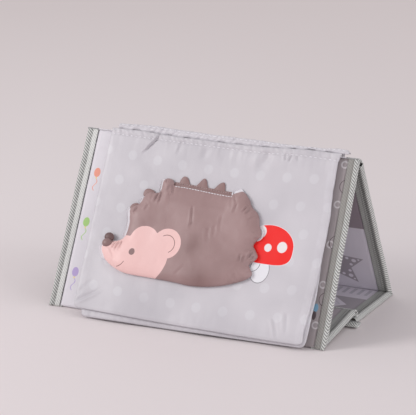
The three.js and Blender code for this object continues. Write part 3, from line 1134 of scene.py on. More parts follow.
# Sections of the binding tape over a panel's outer face, round its edge and under its lining, as
# distances inward from the book's end and outward from the face, in millimetres.
WIDE_ROLL = (
    (12.0, -0.25), (11.6, 0.30), (10.6, 0.42), (8.8, 0.44), (7.4, 0.34), (6.6, -0.22), (5.6, 0.35),
    (4.3, 1.05), (2.9, 1.25), (1.5, 0.85), (0.5, -0.2),
)  # fmt: skip
NARROW_ROLL = (
    (9.6, -0.3), (9.3, 0.2), (8.2, 0.3), (6.4, 0.26), (4.9, 0.16), (4.0, -0.3), (3.2, 0.35), (2.2, 1.05),
    (0.9, 1.1), (-0.1, 0.4),
)  # fmt: skip
PRESSED_ROLL = ((12.0, -0.2), (11.5, 0.0), (9.0, 0.02), (6.0, 0.02), (3.0, 0.0), (1.4, -0.15), (0.3, -0.7))
EDGE_ROLL = ((-0.3, -1.6), (-0.5, -2.7), (-0.3, -3.9))
LINING_ROLL = (
    (0.4, -0.3), (1.3, 0.6), (2.5, 0.85), (3.7, 0.5), (4.6, 0.02), (5.6, 0.05), (6.5, 0.5), (7.4, 0.1),
    (8.8, 0.22), (10.6, 0.32), (11.5, 0.28), (12.0, -0.1),
)  # fmt: skip


@dataclass
class Panel:
    """A stiffened panel: two cloths and two bound side edges over its board."""

    name: str
    body: str
    slope: Slope
    fold_angle: float
    length: float
    stack: Stack
    seed: float
    rolls: tuple[Line, Line] = (WIDE_ROLL, WIDE_ROLL)
    flare: tuple[float, float] = (0.0, 0.0)
    cloth_tuck: float = 0.8 * MM
    tuck: float = 2.6 * MM
    tucked_depth: float = 0.95 * MM
    cloth_thickness: float = 0.45 * MM
    tape_thickness: float = 0.5 * MM

    def tape_line(self, side: Side) -> SmoothLine:
        """Returns the tape's section, from its outer edge round to its inner one."""
        outer = self.rolls[0 if side is Side.LEFT else 1]
        inner = tuple((inward, -self.stack.panel / MM - height) for inward, height in LINING_ROLL)
        return SmoothLine(outer + EDGE_ROLL + inner)

    def cloth_ends(self, inside: bool) -> tuple[float, float]:
        """Returns where a cloth ends under the two tapes."""
        full = self.stack.tape_width / MM
        widths = (full, full) if inside else (self.rolls[0][0][0], self.rolls[1][0][0])
        half = self.stack.half_length
        return -half + widths[0] * MM - self.cloth_tuck, half - widths[1] * MM + self.cloth_tuck

    def start(self, depth: float) -> float:
        """Returns where a layer starts beside the fold, at a depth below the outer face."""
        half = self.fold_angle / 2
        return max(depth, 0.0) / math.tan(half) + self.stack.gap / 2 / math.sin(half)

    def cloth(self, inside: bool) -> bpy.types.Object:
        """Makes the outer cloth or the lining, padded between the tapes and tucked under them.

        Args:
            inside: Whether it is the lining.

        Returns:
            The cloth.
        """
        stack = self.stack
        low, high = self.cloth_ends(inside)

        def depth_at(share: float, up: float) -> float:
            """Returns the visible face's depth below its plane."""
            across = lerp(low, high, share)
            tucked = 1 - smooth(min(across - low, high - across) / self.tuck)
            quilt = 0.28 * MM * (ripple(across, up, 38 * MM, self.seed) + 1)
            quilt += 0.10 * MM * (ripple(across, up, 11 * MM, self.seed + 5) + 1)
            return 0.02 * MM + quilt + self.tucked_depth * tucked

        def place(share: float, rise: float, below: float) -> Vector:
            """Returns a point of the cloth, below its visible face."""
            across = lerp(low, high, share)
            up = lerp(self.start(stack.cloth), self.length, rise)
            depth = depth_at(share, up) + below
            across += lerp(-self.flare[0], self.flare[1], share) * (1 - rise)
            if inside:
                depth = stack.panel - depth
                up = lerp(self.start(depth), self.length, rise)
            return self.slope.place(across, up, -depth)

        def flat(share: float, rise: float) -> Point:
            """Returns the cloth's own coordinates, from the middle of its fold."""
            return lerp(low, high, share), rise * self.length

        kind = "lining" if inside else "cover"
        cells = (110, max(round(self.length / (2.4 * MM)), 12))
        return layered(f"{self.name}_{kind}", cells, place, 0, self.cloth_thickness, flat)

    def tape(self, side: Side) -> bpy.types.Object:
        """Makes the binding tape folded round one side edge.

        Args:
            side: Which edge.

        Returns:
            The tape.
        """
        rows = 54
        line = self.tape_line(side)
        girth = [0.0]
        for row in range(rows):
            girth.append(girth[-1] + math.dist(line.at(row / rows), line.at((row + 1) / rows)))

        def place(rise: float, round_share: float, inset: float) -> Vector:
            """Returns a point of the tape, inset from its outer surface."""
            inward, out = line.offset(round_share, inset)
            up = lerp(self.start(-out), self.length, rise)
            sway = 0.35 * MM * ripple(up, side.value, 30 * MM, self.seed)
            sway += 0.15 * MM * ripple(up, side.value, 7 * MM, self.seed)
            roll = math.sin(math.pi * round_share)
            inward += sway * roll - self.flare[0 if side is Side.LEFT else 1] * (1 - rise)
            if self.rolls[0] is not PRESSED_ROLL:
                out += 0.14 * MM * ripple(up, round_share, 12 * MM, self.seed + 3)
            return self.slope.place(side.value * (self.stack.half_length - inward), up, out)

        def flat(rise: float, round_share: float) -> Point:
            """Returns the tape's own coordinates, along it and round its section."""
            return rise * self.length, side.value * girth[round(round_share * rows)]

        name = f"{self.name}_{side.name.lower()}_binding"
        cells = (max(round(self.length / (1.6 * MM)), 20), rows)
        return layered(name, cells, place, 0, self.tape_thickness, flat)

    def build(self, wardrobe: Wardrobe, cover: bpy.types.Material, lining: bpy.types.Material) -> None:
        """Makes and dresses every piece of the panel.

        Args:
            wardrobe: The finishes.
            cover: The outer cloth's print.
            lining: The inner cloth's print.
        """
        dress(self.cloth(False), cover, self.body, "printed_cloth", f"{self.name}_outer_cloth")
        dress(self.cloth(True), lining, self.body, "inside_cloth", f"{self.name}_inner_cloth")
        for side in Side:
            # Right-hand tapes carry painted shade: the front panel's strip lies in the pages' shadow, and the others'
            # inner part lies inside the tent.
            right = wardrobe.shadowed_twill if self.name == "front_panel" else wardrobe.inner_shade_twill
            twill = right if side is Side.RIGHT else wardrobe.twill
            dress(self.tape(side), twill, self.body, "twill_tape", f"{self.name}_{side.name.lower()}_tape")
        coat(frame["nodes"][f"{self.name}_board"], wardrobe.board)


@dataclass
class Ridge:
    """The cloth band over the ridge, bound at both ends."""

    layout: Layout
    stack: Stack
    clearance: float = 0.6 * MM
    thickness: float = 1.1 * MM
    crown: float = 0.35 * MM
    cap_lift: float = 0.45 * MM

    def band(self, name: str, low: float, high: float, lift: float) -> bpy.types.Object:
        """Makes one stretch of the band.

        Args:
            name: Its name.
            low: Where it starts across the book.
            high: Where it ends.
            lift: How far it stands over the plain band.

        Returns:
            The stretch.
        """
        front = self.layout.front.place(0, self.layout.panel, 0)
        run = self.layout.ridge_rear - front
        width = run.length
        run.normalize()
        outward = Vector((0, -run.z, run.y))

        def place(across_share: float, share: float, depth: float) -> Vector:
            """Returns a point of the band, at a depth below its top."""
            across = lerp(low, high, across_share)
            along = share * (width - self.clearance)
            puff = (self.crown + lift) * math.sin(math.pi * share) ** 0.6
            puff += 0.15 * MM * ripple(across, along, 9 * MM, lift / MM)
            return front + Vector((across, 0, 0)) + run * along + outward * (puff - depth)

        cells = (max(round((high - low) / (2.5 * MM)), 6), 10)
        under = self.thickness + 0.6 * lift
        return layered(name, cells, place, 0, under, lambda s, t: (t * width, lerp(low, high, s)))

    def build(self, wardrobe: Wardrobe) -> None:
        """Makes and dresses the band and its two bound ends."""
        inner = self.stack.half_length - self.stack.tape_width
        middle = self.band("ridge_cloth", -inner - 1 * MM, inner + 1 * MM, 0)
        dress(middle, wardrobe.plain_cover, "front_panel", "printed_cloth", "ridge_band")
        for side in Side:
            ends = sorted((side.value * inner, side.value * self.stack.half_length))
            cap = self.band(f"ridge_{side.name.lower()}_binding", ends[0], ends[1], self.cap_lift)
            dress(cap, wardrobe.twill, "front_panel", "twill_tape")


@dataclass
class BaseClosure:
    """The base's middle: the front flap's curled end over the rear flap's rolled hem."""

    layout: Layout
    stack: Stack
    lip_radius: float = 6.4 * MM
    lip_turn: float = math.radians(116)
    lip_thickness: float = 1.3 * MM
    hem_height: float = 5.4 * MM
    hem_overhang: float = 5 * MM
    hem_turns: float = 1.7
    hem_layer: float = 0.95 * MM
    hem_winding: float = 1.35 * MM

    def lip(self) -> bpy.types.Object:
        """Returns the bound lip that curls down over the hem."""
        centre_up = self.layout.flap_reach + self.stack.gap
        centre_out = -(self.stack.panel - self.lip_radius)
        half = self.stack.half_length

        def place(share: float, round_share: float, inset: float) -> Vector:
            """Returns a point of the lip."""
            turn = math.radians(90) - round_share * self.lip_turn
            across = lerp(-half, half, share)
            radius = self.lip_radius - inset + 0.25 * MM * ripple(across, turn, 14 * MM, 2)
            up = centre_up + radius * math.cos(turn)
            return self.layout.base_front.place(across, up, centre_out - radius * math.sin(turn))

        girth = self.lip_radius * self.lip_turn
        return layered(
            "base_lip", (140, 16), place, 0, self.lip_thickness, lambda s, t: (lerp(-half, half, s), t * girth)
        )

    def hem(self) -> bpy.types.Object:
        """Returns the rear flap's end, rolled up on itself."""
        half = self.stack.half_length + self.hem_overhang
        wide, high = self.layout.hem_width / 2, self.hem_height / 2
        centre = self.layout.hem_reach + self.stack.gap + wide

        def place(share: float, round_share: float, inset: float) -> Vector:
            """Returns a point of the rolled cloth."""
            across = lerp(-half, half, share)
            turn = -2 * math.pi * self.hem_turns * round_share + math.radians(200)
            shrink = self.hem_winding * self.hem_turns * round_share + inset
            sag = 0.2 * MM * ripple(across, round_share, 9 * MM, 4)
            across_radius = max(wide - shrink * 1.6 + sag, 0.4 * MM)
            up_radius = max(high - shrink, 0.25 * MM)
            end = 0.8 * MM * ripple(round_share, share, 0.21, 6) * (1 if share > 0.5 else -1)
            bulge = end if share in (0.0, 1.0) else 0.0
            return self.layout.base_rear.place(
                across + bulge, centre + across_radius * math.cos(turn), -high + up_radius * math.sin(turn)
            )

        girth = math.pi * (wide + high) * self.hem_turns
        return layered(
            "base_rolled_hem", (146, 84), place, 0, self.hem_layer, lambda s, t: (lerp(-half, half, s), t * girth)
        )

    def build(self, wardrobe: Wardrobe) -> None:
        """Makes and dresses the lip, the hem and the closure strips."""
        dress(self.lip(), wardrobe.twill, "base_front_flap", "twill_tape", "base_front_end_binding")
        dress(self.hem(), wardrobe.twill, "base_rear_flap", "twill_tape", "base_rear_rolled_hem")
        for name in ("closure_loop_strip", "closure_hook_strip"):
            coat(frame["nodes"][name], wardrobe.hooks)


# ---- Pages


@dataclass
class Hang:
    """How the pages hang off the front panel, as their solids do, with page one's finer relief."""

    layout: Layout
    stack: Stack
    width: float = 232 * MM
    kick: float = 10.4 * MM
    kick_skew: float = 4.6 * MM
    kick_share: float = 1.8
    fold: float = 1.8 * MM
    fold_count: float = 2.5
    fold_phase: float = 0.15
    hem: Line = (
        (-109.7, 170.9), (-83.0, 170.5), (-55.0, 170.1), (-30.0, 169.5), (16.0, 169.1), (46.0, 168.9),
        (86.0, 170.6), (119.0, 170.1),
    )  # fmt: skip

    def back(self, across: float, up: float) -> float:
        """Returns how far page two's back lies off the panel's face."""
        side = 2 * across / self.width
        down = max(1 - up / self.layout.crest, 0.0)
        kick = (self.kick - self.kick_skew * side) * down**self.kick_share
        wave = 1 - math.cos(2 * math.pi * (self.fold_count * side / 2 + self.fold_phase))
        return self.stack.page_gap + kick + self.fold / 2 * wave * down**2

    def outer_back(self, across: float, up: float) -> float:
        """Returns how far page one's back lies off the panel's face."""
        return self.back(across, up) + self.stack.page + self.stack.page_gap

    def relief(self, across: float, up: float) -> float:
        """Returns page one's soft waves, hem puckers and creases, outward.

        Args:
            across: Place across the panel.
            up: Place up it.

        Returns:
            The relief, in metres.
        """
        hem = through(self.hem, across)
        below = max(hem - up, 0.0)
        above = smooth((up - hem) / (1.2 * MM))
        calm = 1 - above
        broad = 0.95 * MM * (ripple(across, up * 0.7, 52 * MM, 11) + 0.5)
        middle = 0.34 * MM * ripple(across * 1.1, up * 0.8, 22 * MM, 17) * calm
        crisp = 0.14 * MM * (1 - 2 * abs(ripple(across * 0.9, up, 16 * MM, 12)))
        crisp += 0.07 * MM * ripple(across, up, 7 * MM, 13)
        gather = math.exp(-below / (7 * MM)) * smooth(below / (1.0 * MM))
        strength = 0.45 + 0.6 * smooth((across + 60 * MM) / (90 * MM))
        pucker = 0.95 * MM * strength * gather * ripple(across, up * 0.12, 4.3 * MM, 14)
        band = 1.0 * MM * above * ripple(across + 0.7 * up, up * 0.5, 2.9 * MM, 15)
        groove = 0.55 * MM * math.exp(-(((up - hem) / (0.9 * MM)) ** 2))
        foot = 0.55 * MM * math.exp(-max(up, 0.0) / (11 * MM)) * ripple(across, up * 0.15, 7.5 * MM, 16)
        creases = sum(crease.depth_at(across, up) for crease in PAGE_CREASES)
        return broad + middle + crisp + pucker + band + foot - groove - creases

    def front(self, across: float, up: float) -> float:
        """Returns how far page one's front lies off the panel's face."""
        return self.outer_back(across, up) + self.stack.page + self.relief(across, up)


@dataclass(frozen=True)
class Crease:
    """A pressed line between two points of a cloth's own coordinates, in millimetres."""

    start: Point
    end: Point
    depth: float
    width: float
    ridge: float = 0.35

    def depth_at(self, across: float, up: float) -> float:
        """Returns the crease's depth at a point in metres, below zero on its raised side."""
        x, y = across / MM, up / MM
        run = (self.end[0] - self.start[0], self.end[1] - self.start[1])
        length = math.hypot(*run)
        along = ((x - self.start[0]) * run[0] + (y - self.start[1]) * run[1]) / length**2
        beside = ((x - self.start[0]) * run[1] - (y - self.start[1]) * run[0]) / length
        if not -0.15 < along < 1.15 or abs(beside) > 4 * self.width:
            return 0.0
        fade = smooth((along + 0.15) / 0.3) * smooth((1.15 - along) / 0.6)
        groove = math.exp(-((beside / self.width) ** 2))
        bank = self.ridge * math.exp(-(((beside - 1.8 * self.width) / self.width) ** 2))
        return self.depth * MM * fade * (groove - bank)


def creased(*rows: tuple[float, ...]) -> tuple[Crease, ...]:
    """Returns the creases of some rows, each the start, the end, the depth, the width and the raised side."""
    return tuple(Crease(row[0:2], row[2:4], *row[4:]) for row in rows)


PAGE_CREASES = creased(
    (-58.2, 178.5, -62.6, 168.5, 1.2, 0.8, 0.6),
    (-60.6, 171.0, -73.0, 155.5, 1.7, 0.95, 0.9),
    (-104.0, 7.0, -82.0, 21.5, 1.1, 1.5, 0.7),
    (-107.0, 12.0, -92.0, 30.0, 0.6, 1.8),
    (-35.0, 171.0, -37.0, 158.0, 0.7, 1.3),
    (56.0, 169.0, 46.0, 151.0, 1.7, 4.4, 0.3),
    (-7.0, 168.0, -10.0, 155.0, 0.9, 3.4, 0.3),
    (71.5, 170.0, 72.6, 164.0, 1.3, 0.9),
    (77.5, 170.0, 75.4, 163.0, 1.3, 0.9),
    (83.0, 170.0, 84.4, 165.0, 0.9, 0.8),
    (93.0, 20.0, 100.0, 3.0, 0.6, 1.6, 0.9),
    (104.0, 26.0, 108.0, 8.0, 0.5, 1.8, 0.9),
)


@dataclass
class Page:
    """One soft page: a closed sheet with pinched seams, rounded corners and a stitched hem."""

    name: str
    hang: Hang
    width: float
    shift: float
    top: Line
    reach: float
    tilt: float
    bow: float
    tuck: tuple[float, float]
    right_edge: Line
    outer: bool
    cells: tuple[int, int]
    corner: float = 6 * MM
    seam: float = 3.0 * MM

    def flat_place(self, share: float, rise: float) -> Point:
        """Returns the point across and up the panel at two shares of the page."""
        side = 2 * share - 1
        straight = side * self.width / 2
        bottom = -self.reach + self.tilt * side + self.bow * side**2
        from_edge = self.width / 2 * (1 - abs(side))
        if from_edge < self.corner:
            bottom += self.corner - math.sqrt(self.corner**2 - (self.corner - from_edge) ** 2)
        top = through(self.top, straight + self.shift) + 0.3 * MM * ripple(straight, 0, 7 * MM, self.shift / MM)
        up = lerp(bottom, top, rise)
        across = straight + self.shift + lerp(self.tuck[0], self.tuck[1], share) * (1 - rise) ** 2
        across += through(self.right_edge, up) * smooth(side)
        across += 0.4 * MM * ripple(up, side, 14 * MM, 31) * abs(side) ** 8
        return across, up

    def pinch(self, share: float, rise: float) -> float:
        """Returns how far each face is drawn in beside the seams."""
        side = self.width / 2 * (1 - abs(2 * share - 1))
        near = min(side, rise * self.top[0][1] * MM)
        high = (1 - rise) * self.top[0][1] * MM
        return 0.62 * MM * (1 - smooth(near / self.seam)) + 0.35 * MM * (1 - smooth(high / (1.4 * MM)))

    def place(self, share: float, rise: float, front: bool) -> Vector:
        """Returns a point of the page's front or back face.

        Args:
            share: Share of the way across.
            rise: Share of the way up.
            front: Whether it is on the front.

        Returns:
            The point.
        """
        across, up = self.flat_place(share, rise)
        hang, stack = self.hang, self.hang.stack
        pinch = self.pinch(share, rise)
        if self.outer:
            out = hang.front(across, up) - pinch if front else hang.outer_back(across, up) + pinch
        else:
            soft = 0.12 * MM * (ripple(across, up, 15 * MM, 21) - 1)
            frill = 0.5 * MM * math.exp(-max(up, 0.0) / (6 * MM)) * ripple(across, up * 0.2, 3.4 * MM, 22)
            soft += min(frill, 0.1 * MM)
            out = hang.back(across, up) + (stack.page + soft - pinch if front else pinch)
        return hang.layout.front.place(across, up, out)

    def build(self, material: bpy.types.Material, trims: Sequence[bpy.types.Object]) -> bpy.types.Object:
        """Args:
            material: Its satin.
            trims: The pieces sewn on it.

        Returns:
            The page.
        """
        sheet = shell(
            self.name,
            self.cells,
            lambda s, t: self.place(s, t, True),
            lambda s, t: self.place(s, t, False),
            self.flat_place,
        )
        parts = [f"{self.name}_{part}" for part in ("front_cloth", "crinkle_film", "back_cloth")]
        dress(sheet, material, self.name, "page_satin", *parts)
        flat = (self.width, self.top[0][1] * MM + self.reach)
        list(trims)
        return sheet


@dataclass
class Header:
    """Page two's top edge, folded back on itself over the page tab and gathered by its stitches."""

    hang: Hang
    foot: Line
    crest: Line = (
        (-103.4, 182.0), (-69.7, 183.2), (-40.0, 182.1), (0.5, 181.2), (41.5, 180.9), (72.6, 179.9),
        (106.0, 180.2), (120.7, 181.6), (128.0, 181.2), (132.0, 179.0),
    )  # fmt: skip
    ends: tuple[float, float] = (-105.2 * MM, 131.2 * MM)
    fold: SmoothLine = SmoothLine(
        (
            (0.0, 2.7), (0.22, 3.5), (0.5, 3.75), (0.78, 3.45), (0.95, 2.5), (1.0, 1.2), (0.95, 0.0),
            (0.78, -0.85), (0.55, -1.05), (0.48, -0.95),
        ),
        unit=1.0,
    )  # fmt: skip
    thickness: float = 0.5 * MM
    girth: float = 14 * MM

    def section(self, x: float) -> tuple[float, float]:
        """Returns the lowest and highest point of the fold at a place across."""
        end = smooth((x - 120 * MM) / (9 * MM))
        gap = 1.1 * smooth(ripple(x, 0, 9 * MM, 36) * 2.2 + 0.4) - 0.35 + 0.5 * end
        return through(self.foot, x) + gap * MM, through(self.crest, x)

    def place(self, share: float, round_share: float, inset: float) -> Vector:
        """Returns a point of the folded cloth, inset from its outer surface."""
        x = lerp(self.ends[0], self.ends[1], share)
        low, high = self.section(x)
        rise, out = self.fold.at(round_share)
        before, after = self.fold.at(max(round_share - 0.01, 0)), self.fold.at(min(round_share + 0.01, 1))
        run = Vector(((after[0] - before[0]) * (high - low), (after[1] - before[1]) * MM)).normalized()
        up = lerp(low, high, rise) + run.y * inset
        depth = out * MM - run.x * inset
        bulge = math.sin(math.pi * round_share)
        depth += 1.3 * MM * ripple(x - 0.6 * up, up * 0.5, 3.4 * MM, 33) * bulge
        stitched = math.exp(-(((rise - 0.7) / 0.12) ** 2)) if round_share < 0.5 else 0.0
        depth -= 0.45 * MM * stitched
        up += 0.35 * MM * ripple(x, round_share, 4.2 * MM, 34) * bulge
        x += 0.5 * MM * ripple(round_share, 0, 0.25, 35) if share in (0.0, 1.0) else 0.0
        return self.hang.layout.front.place(x, up, depth)

    def build(self, wardrobe: Wardrobe) -> list[bpy.types.Object]:
        """Makes and dresses the header and its stitches.

        Returns:
            Both pieces.
        """

        def flat(share: float, round_share: float) -> Point:
            """Returns the cloth's own coordinates, along the header and round its fold."""
            return lerp(self.ends[0], self.ends[1], share), 170 * MM + round_share * self.girth

        header = layered("page_two_header", (330, 30), self.place, 0, self.thickness, flat)
        dress(header, wardrobe.satin, "page_two", "page_satin")
        out = self.hang.layout.front.out
        row = StitchRow(
            "page_two_stitches", lambda s: self.place(lerp(0.01, 0.985, s), 0.31, 0) + out * (0.2 * MM), out,
            count=50, seed=2,
        )  # fmt: skip
        return [header, dress(row.build(), wardrobe.thread, "page_two", "page_satin")]


@dataclass
class Pages:
    """The two pages on their shared hang, with page two's header and page one's hem stitches."""

    hang: Hang
    hem_top: Line = (
        (-111.0, 176.7), (-84.0, 176.5), (-31.5, 174.6), (14.8, 174.2), (45.0, 174.6), (97.6, 176.8),
        (130.0, 176.5),
    )  # fmt: skip
    outer_edge: Line = (
        (2.0, 0.0), (12.0, -1.6), (26.0, -0.8), (32.0, 0.0), (44.0, 0.0), (60.0, 0.8), (97.0, 0.7),
        (120.0, 0.2), (133.0, -1.1), (143.0, -2.0), (168.0, -2.5), (172.0, -1.6), (176.0, -0.2),
    )  # fmt: skip
    inner_edge: Line = (
        (8.0, 0.0), (27.0, 0.0), (44.0, 0.5), (58.0, 0.0), (70.0, -0.8), (84.0, -4.2), (180.0, -4.6),
    )  # fmt: skip
    stitched: tuple[float, float] = (-109.5, 121.5)

    def outer(self) -> Page:
        """Returns page one, in front."""
        return Page(
            "page_one", self.hang, width=236 * MM, shift=7 * MM, top=self.hem_top, reach=0.5 * MM,
            tilt=-0.15 * MM, bow=1.2 * MM, tuck=(5.0 * MM, 0.0), right_edge=self.outer_edge, outer=True,
            cells=(230, 178),
        )  # fmt: skip

    def inner(self) -> Page:
        """Returns page two, behind."""
        return Page(
            "page_two", self.hang, width=232 * MM, shift=10 * MM, top=((-106.0, 179.6), (130.0, 179.4)),
            reach=4.4 * MM, tilt=2.6 * MM, bow=0.6 * MM, tuck=(8.3 * MM, 0.5 * MM), right_edge=self.inner_edge,
            outer=False, cells=(170, 110),
        )  # fmt: skip

    def on_hem(self, share: float) -> Vector:
        """Returns a point of page one's stitched hem line, just over its cloth."""
        across = lerp(*self.stitched, share) * MM
        up = through(self.hang.hem, across)
        return self.hang.layout.front.place(across, up, self.hang.front(across, up) + 0.3 * MM)

    def build(self, wardrobe: Wardrobe) -> None:
        self.inner().build(wardrobe.page_two, Header(self.hang, self.hem_top).build(wardrobe))
        row = StitchRow("page_one_stitches", self.on_hem, self.hang.layout.front.out, count=50, seed=5)
        stitches = dress(row.build(), wardrobe.thread, "page_one", "page_satin")
        self.outer().build(wardrobe.page_one, [stitches])
        coat(frame["nodes"]["page_tab"], wardrobe.page_two)


# ---- Hedgehog


@dataclass
class Hedgehog:
    """The padded flap and the flat strip of spikes above its stitch line.

    Its tables are in millimetres, from the middle of the stitch line.
    """

    hang: Hang
    middle: Point = (0.24 * MM, 125.7 * MM)
    tilt: float = math.radians(-2.7)
    seat: float = 0.45 * MM
    lining: float = 0.5 * MM
    crown: float = 6.2 * MM
    shoulder: float = 13 * MM
    rim_height: float = 0.8 * MM
    sewn_shoulder: float = 26 * MM
    sewn_height: float = 0.35 * MM
    centre: Point = (-26.4 * MM, -56.3 * MM)
    outline: SmoothLine = SmoothLine(
        (
            (-87.6, -70.6), (-85.0, -75.2), (-79.9, -80.6), (-69.3, -85.9), (-55.3, -89.1), (-29.4, -88.4),
            (-7.2, -88.0), (9.4, -88.3), (25.3, -86.2), (40.6, -82.3), (55.2, -76.2), (63.8, -71.0),
            (66.8, -66.4), (64.2, -62.4), (61.8, -58.4), (65.4, -54.2), (67.6, -49.6), (64.4, -44.8),
            (60.9, -40.4), (62.6, -36.2), (66.0, -31.0), (65.0, -25.8), (61.8, -21.4), (60.0, -15.4),
            (56.6, -10.2), (51.0, -6.6), (48.2, -3.6), (46.4, -0.4), (42.9, 3.0), (39.8, 5.6), (36.6, 6.6),
            (32.0, 4.9), (29.0, 3.2), (26.6, 1.3), (14.0, 0.9), (-2.0, 1.0), (-18.0, 0.9), (-31.6, 0.9),
            (-32.9, 3.0), (-35.5, 5.8), (-38.6, 6.4), (-41.9, 5.6), (-43.9, 3.2), (-44.2, -0.4),
            (-44.0, -4.8), (-45.4, -8.2), (-49.2, -9.4), (-53.4, -9.4), (-56.8, -11.2), (-59.2, -14.6),
            (-60.6, -18.6), (-62.4, -22.8), (-66.2, -25.4), (-69.4, -27.8), (-70.0, -31.1), (-68.5, -35.1),
            (-67.0, -40.9), (-66.4, -46.8), (-66.6, -52.4), (-68.2, -56.8), (-72.4, -60.2), (-77.7, -61.8),
            (-83.4, -63.2), (-87.0, -66.2),
        ),
        closed=True,
    )  # fmt: skip
    creases: tuple[Crease, ...] = creased(
        (-5.9, -17.0, -1.6, -37.0, 0.9, 1.0, 0.5),
        (15.0, -33.0, 18.0, -46.0, 0.6, 1.2, 0.5),
        (20.5, -30.0, 22.4, -41.0, 0.7, 1.1, 0.5),
        (24.6, -19.5, 27.0, -38.0, 0.5, 1.0, 0.5),
        (2.2, -70.6, -5.4, -81.0, 0.22, 1.1, 0.8),
        (49.5, -7.5, 47.6, -14.5, 1.2, 0.9, 0.6),
        (47.2, -5.5, 44.0, -12.6, 0.9, 0.8, 0.6),
        (36.4, -6.5, 35.6, -14.5, 0.8, 1.1, 0.6),
        (62.8, -46.0, 60.6, -54.5, 1.5, 0.8, 0.6),
        (65.6, -48.6, 62.8, -54.6, 1.2, 0.7, 0.6),
        (53.0, -51.0, 53.6, -58.0, 0.9, 0.8, 0.5),
        (56.8, -52.0, 56.4, -58.5, 0.9, 0.7, 0.5),
        (-44.6, -8.0, -45.8, -18.0, 1.6, 1.1, 0.7),
        (-41.6, -7.0, -41.0, -19.0, 1.2, 1.0, 0.7),
        (-61.4, -25.5, -63.6, -33.0, 1.1, 1.0, 0.6),
        (-50.4, -22.5, -53.0, -28.0, 0.7, 1.3, 0.6),
        (-74.0, -62.0, -75.0, -69.2, 1.3, 0.9, 0.6),
        (-70.6, -61.0, -71.4, -70.4, 1.6, 0.9, 0.6),
        (-67.2, -60.0, -67.6, -69.4, 1.5, 0.9, 0.6),
        (-76.8, -69.0, -68.8, -78.5, 0.6, 1.3, 0.6),
        (-33.0, 1.5, -29.0, -8.0, 1.2, 1.1, 0.6),
        (-34.0, 3.0, -36.4, -8.0, 0.9, 0.9, 0.6),
        (28.0, 1.0, 31.0, -9.0, 0.6, 1.0, 0.6),
        (31.0, 2.0, 36.0, -6.0, 0.7, 0.9, 0.6),
        (-37.4, 7.0, -37.0, 1.5, 0.8, 0.7, 0.5),
        (-40.4, 6.5, -39.0, 1.0, 0.8, 0.7, 0.5),
    )
    strip_edges: tuple[Line, Line] = (
        ((-33.2, -0.6), (-33.0, 1.2), (-32.9, 3.0), (-32.4, 4.3)),
        ((29.8, -0.6), (29.8, 1.4), (29.2, 3.2), (26.4, 4.5)),
    )
    spike_edges: tuple[tuple[Line, Line], ...] = (
        (
            ((-28.4, 3.4), (-27.5, 7.6), (-25.6, 10.4), (-23.6, 11.0)),
            ((-16.8, 3.4), (-18.8, 6.8), (-21.0, 9.8), (-22.8, 11.0)),
        ),
        (
            ((-11.6, 2.8), (-8.6, 7.3), (-5.8, 11.4), (-4.2, 12.4)),
            ((2.2, 3.4), (0.2, 6.4), (-1.6, 10.2), (-3.4, 12.3)),
        ),
        (
            ((7.0, 3.4), (10.4, 8.4), (13.4, 11.3), (15.2, 12.0)),
            ((18.9, 3.4), (18.4, 6.4), (17.4, 10.0), (16.0, 11.9)),
        ),
    )
    spine_high: Line = (
        (-60.8, -14.0), (-61.6, -9.8), (-59.6, -7.0), (-55.8, -6.4), (-51.8, -7.6), (-49.6, -10.4),
        (-55.0, -14.5),
    )  # fmt: skip
    spine_low: Line = (
        (-70.8, -28.0), (-70.2, -24.4), (-66.8, -22.2), (-62.6, -22.4), (-60.4, -25.0), (-65.0, -29.0),
    )  # fmt: skip

    def __post_init__(self) -> None:
        """Walks the outline once."""
        self.rim = Rim(self.outline)

    def to_page(self, x: float, y: float) -> Point:
        """Returns the point across and up the page of a point in the flap's own coordinates."""
        cos, sin = math.cos(self.tilt), math.sin(self.tilt)
        return self.middle[0] + x * cos - y * sin, self.middle[1] + x * sin + y * cos

    def place(self, x: float, y: float, lift: float) -> Vector:
        """Returns the point a distance over page one's front."""
        across, up = self.to_page(x, y)
        return self.hang.layout.front.place(across, up, self.hang.front(across, up) + lift)

    def spread(self, turn: float, rise: float, inset: float = 0.0) -> Point:
        """Returns a point between the centre and the rim, closer together near the rim.

        Args:
            turn: Share of the way round.
            rise: Share of the way out.
            inset: How far the rim is drawn in.
        """
        rim = self.rim.at(turn, inset)
        share = 1 - (1 - rise) ** 1.7
        return lerp(self.centre[0], rim[0], share), lerp(self.centre[1], rim[1], share)

    def gather(self, x: float, y: float) -> float:
        """Returns how strongly the rim is gathered near a point, from 0 to 1."""
        spiny = 0.8 * smooth((x + 38 * MM) / (-14 * MM)) * smooth((y + 50 * MM) / (14 * MM))
        rear = smooth((x - 40 * MM) / (14 * MM))
        stitched = 0.55 * smooth((y + 14 * MM) / (10 * MM))
        snout = 0.3 * smooth((x + 58 * MM) / (-12 * MM))
        return max(spiny, rear, stitched, snout, 0.2)

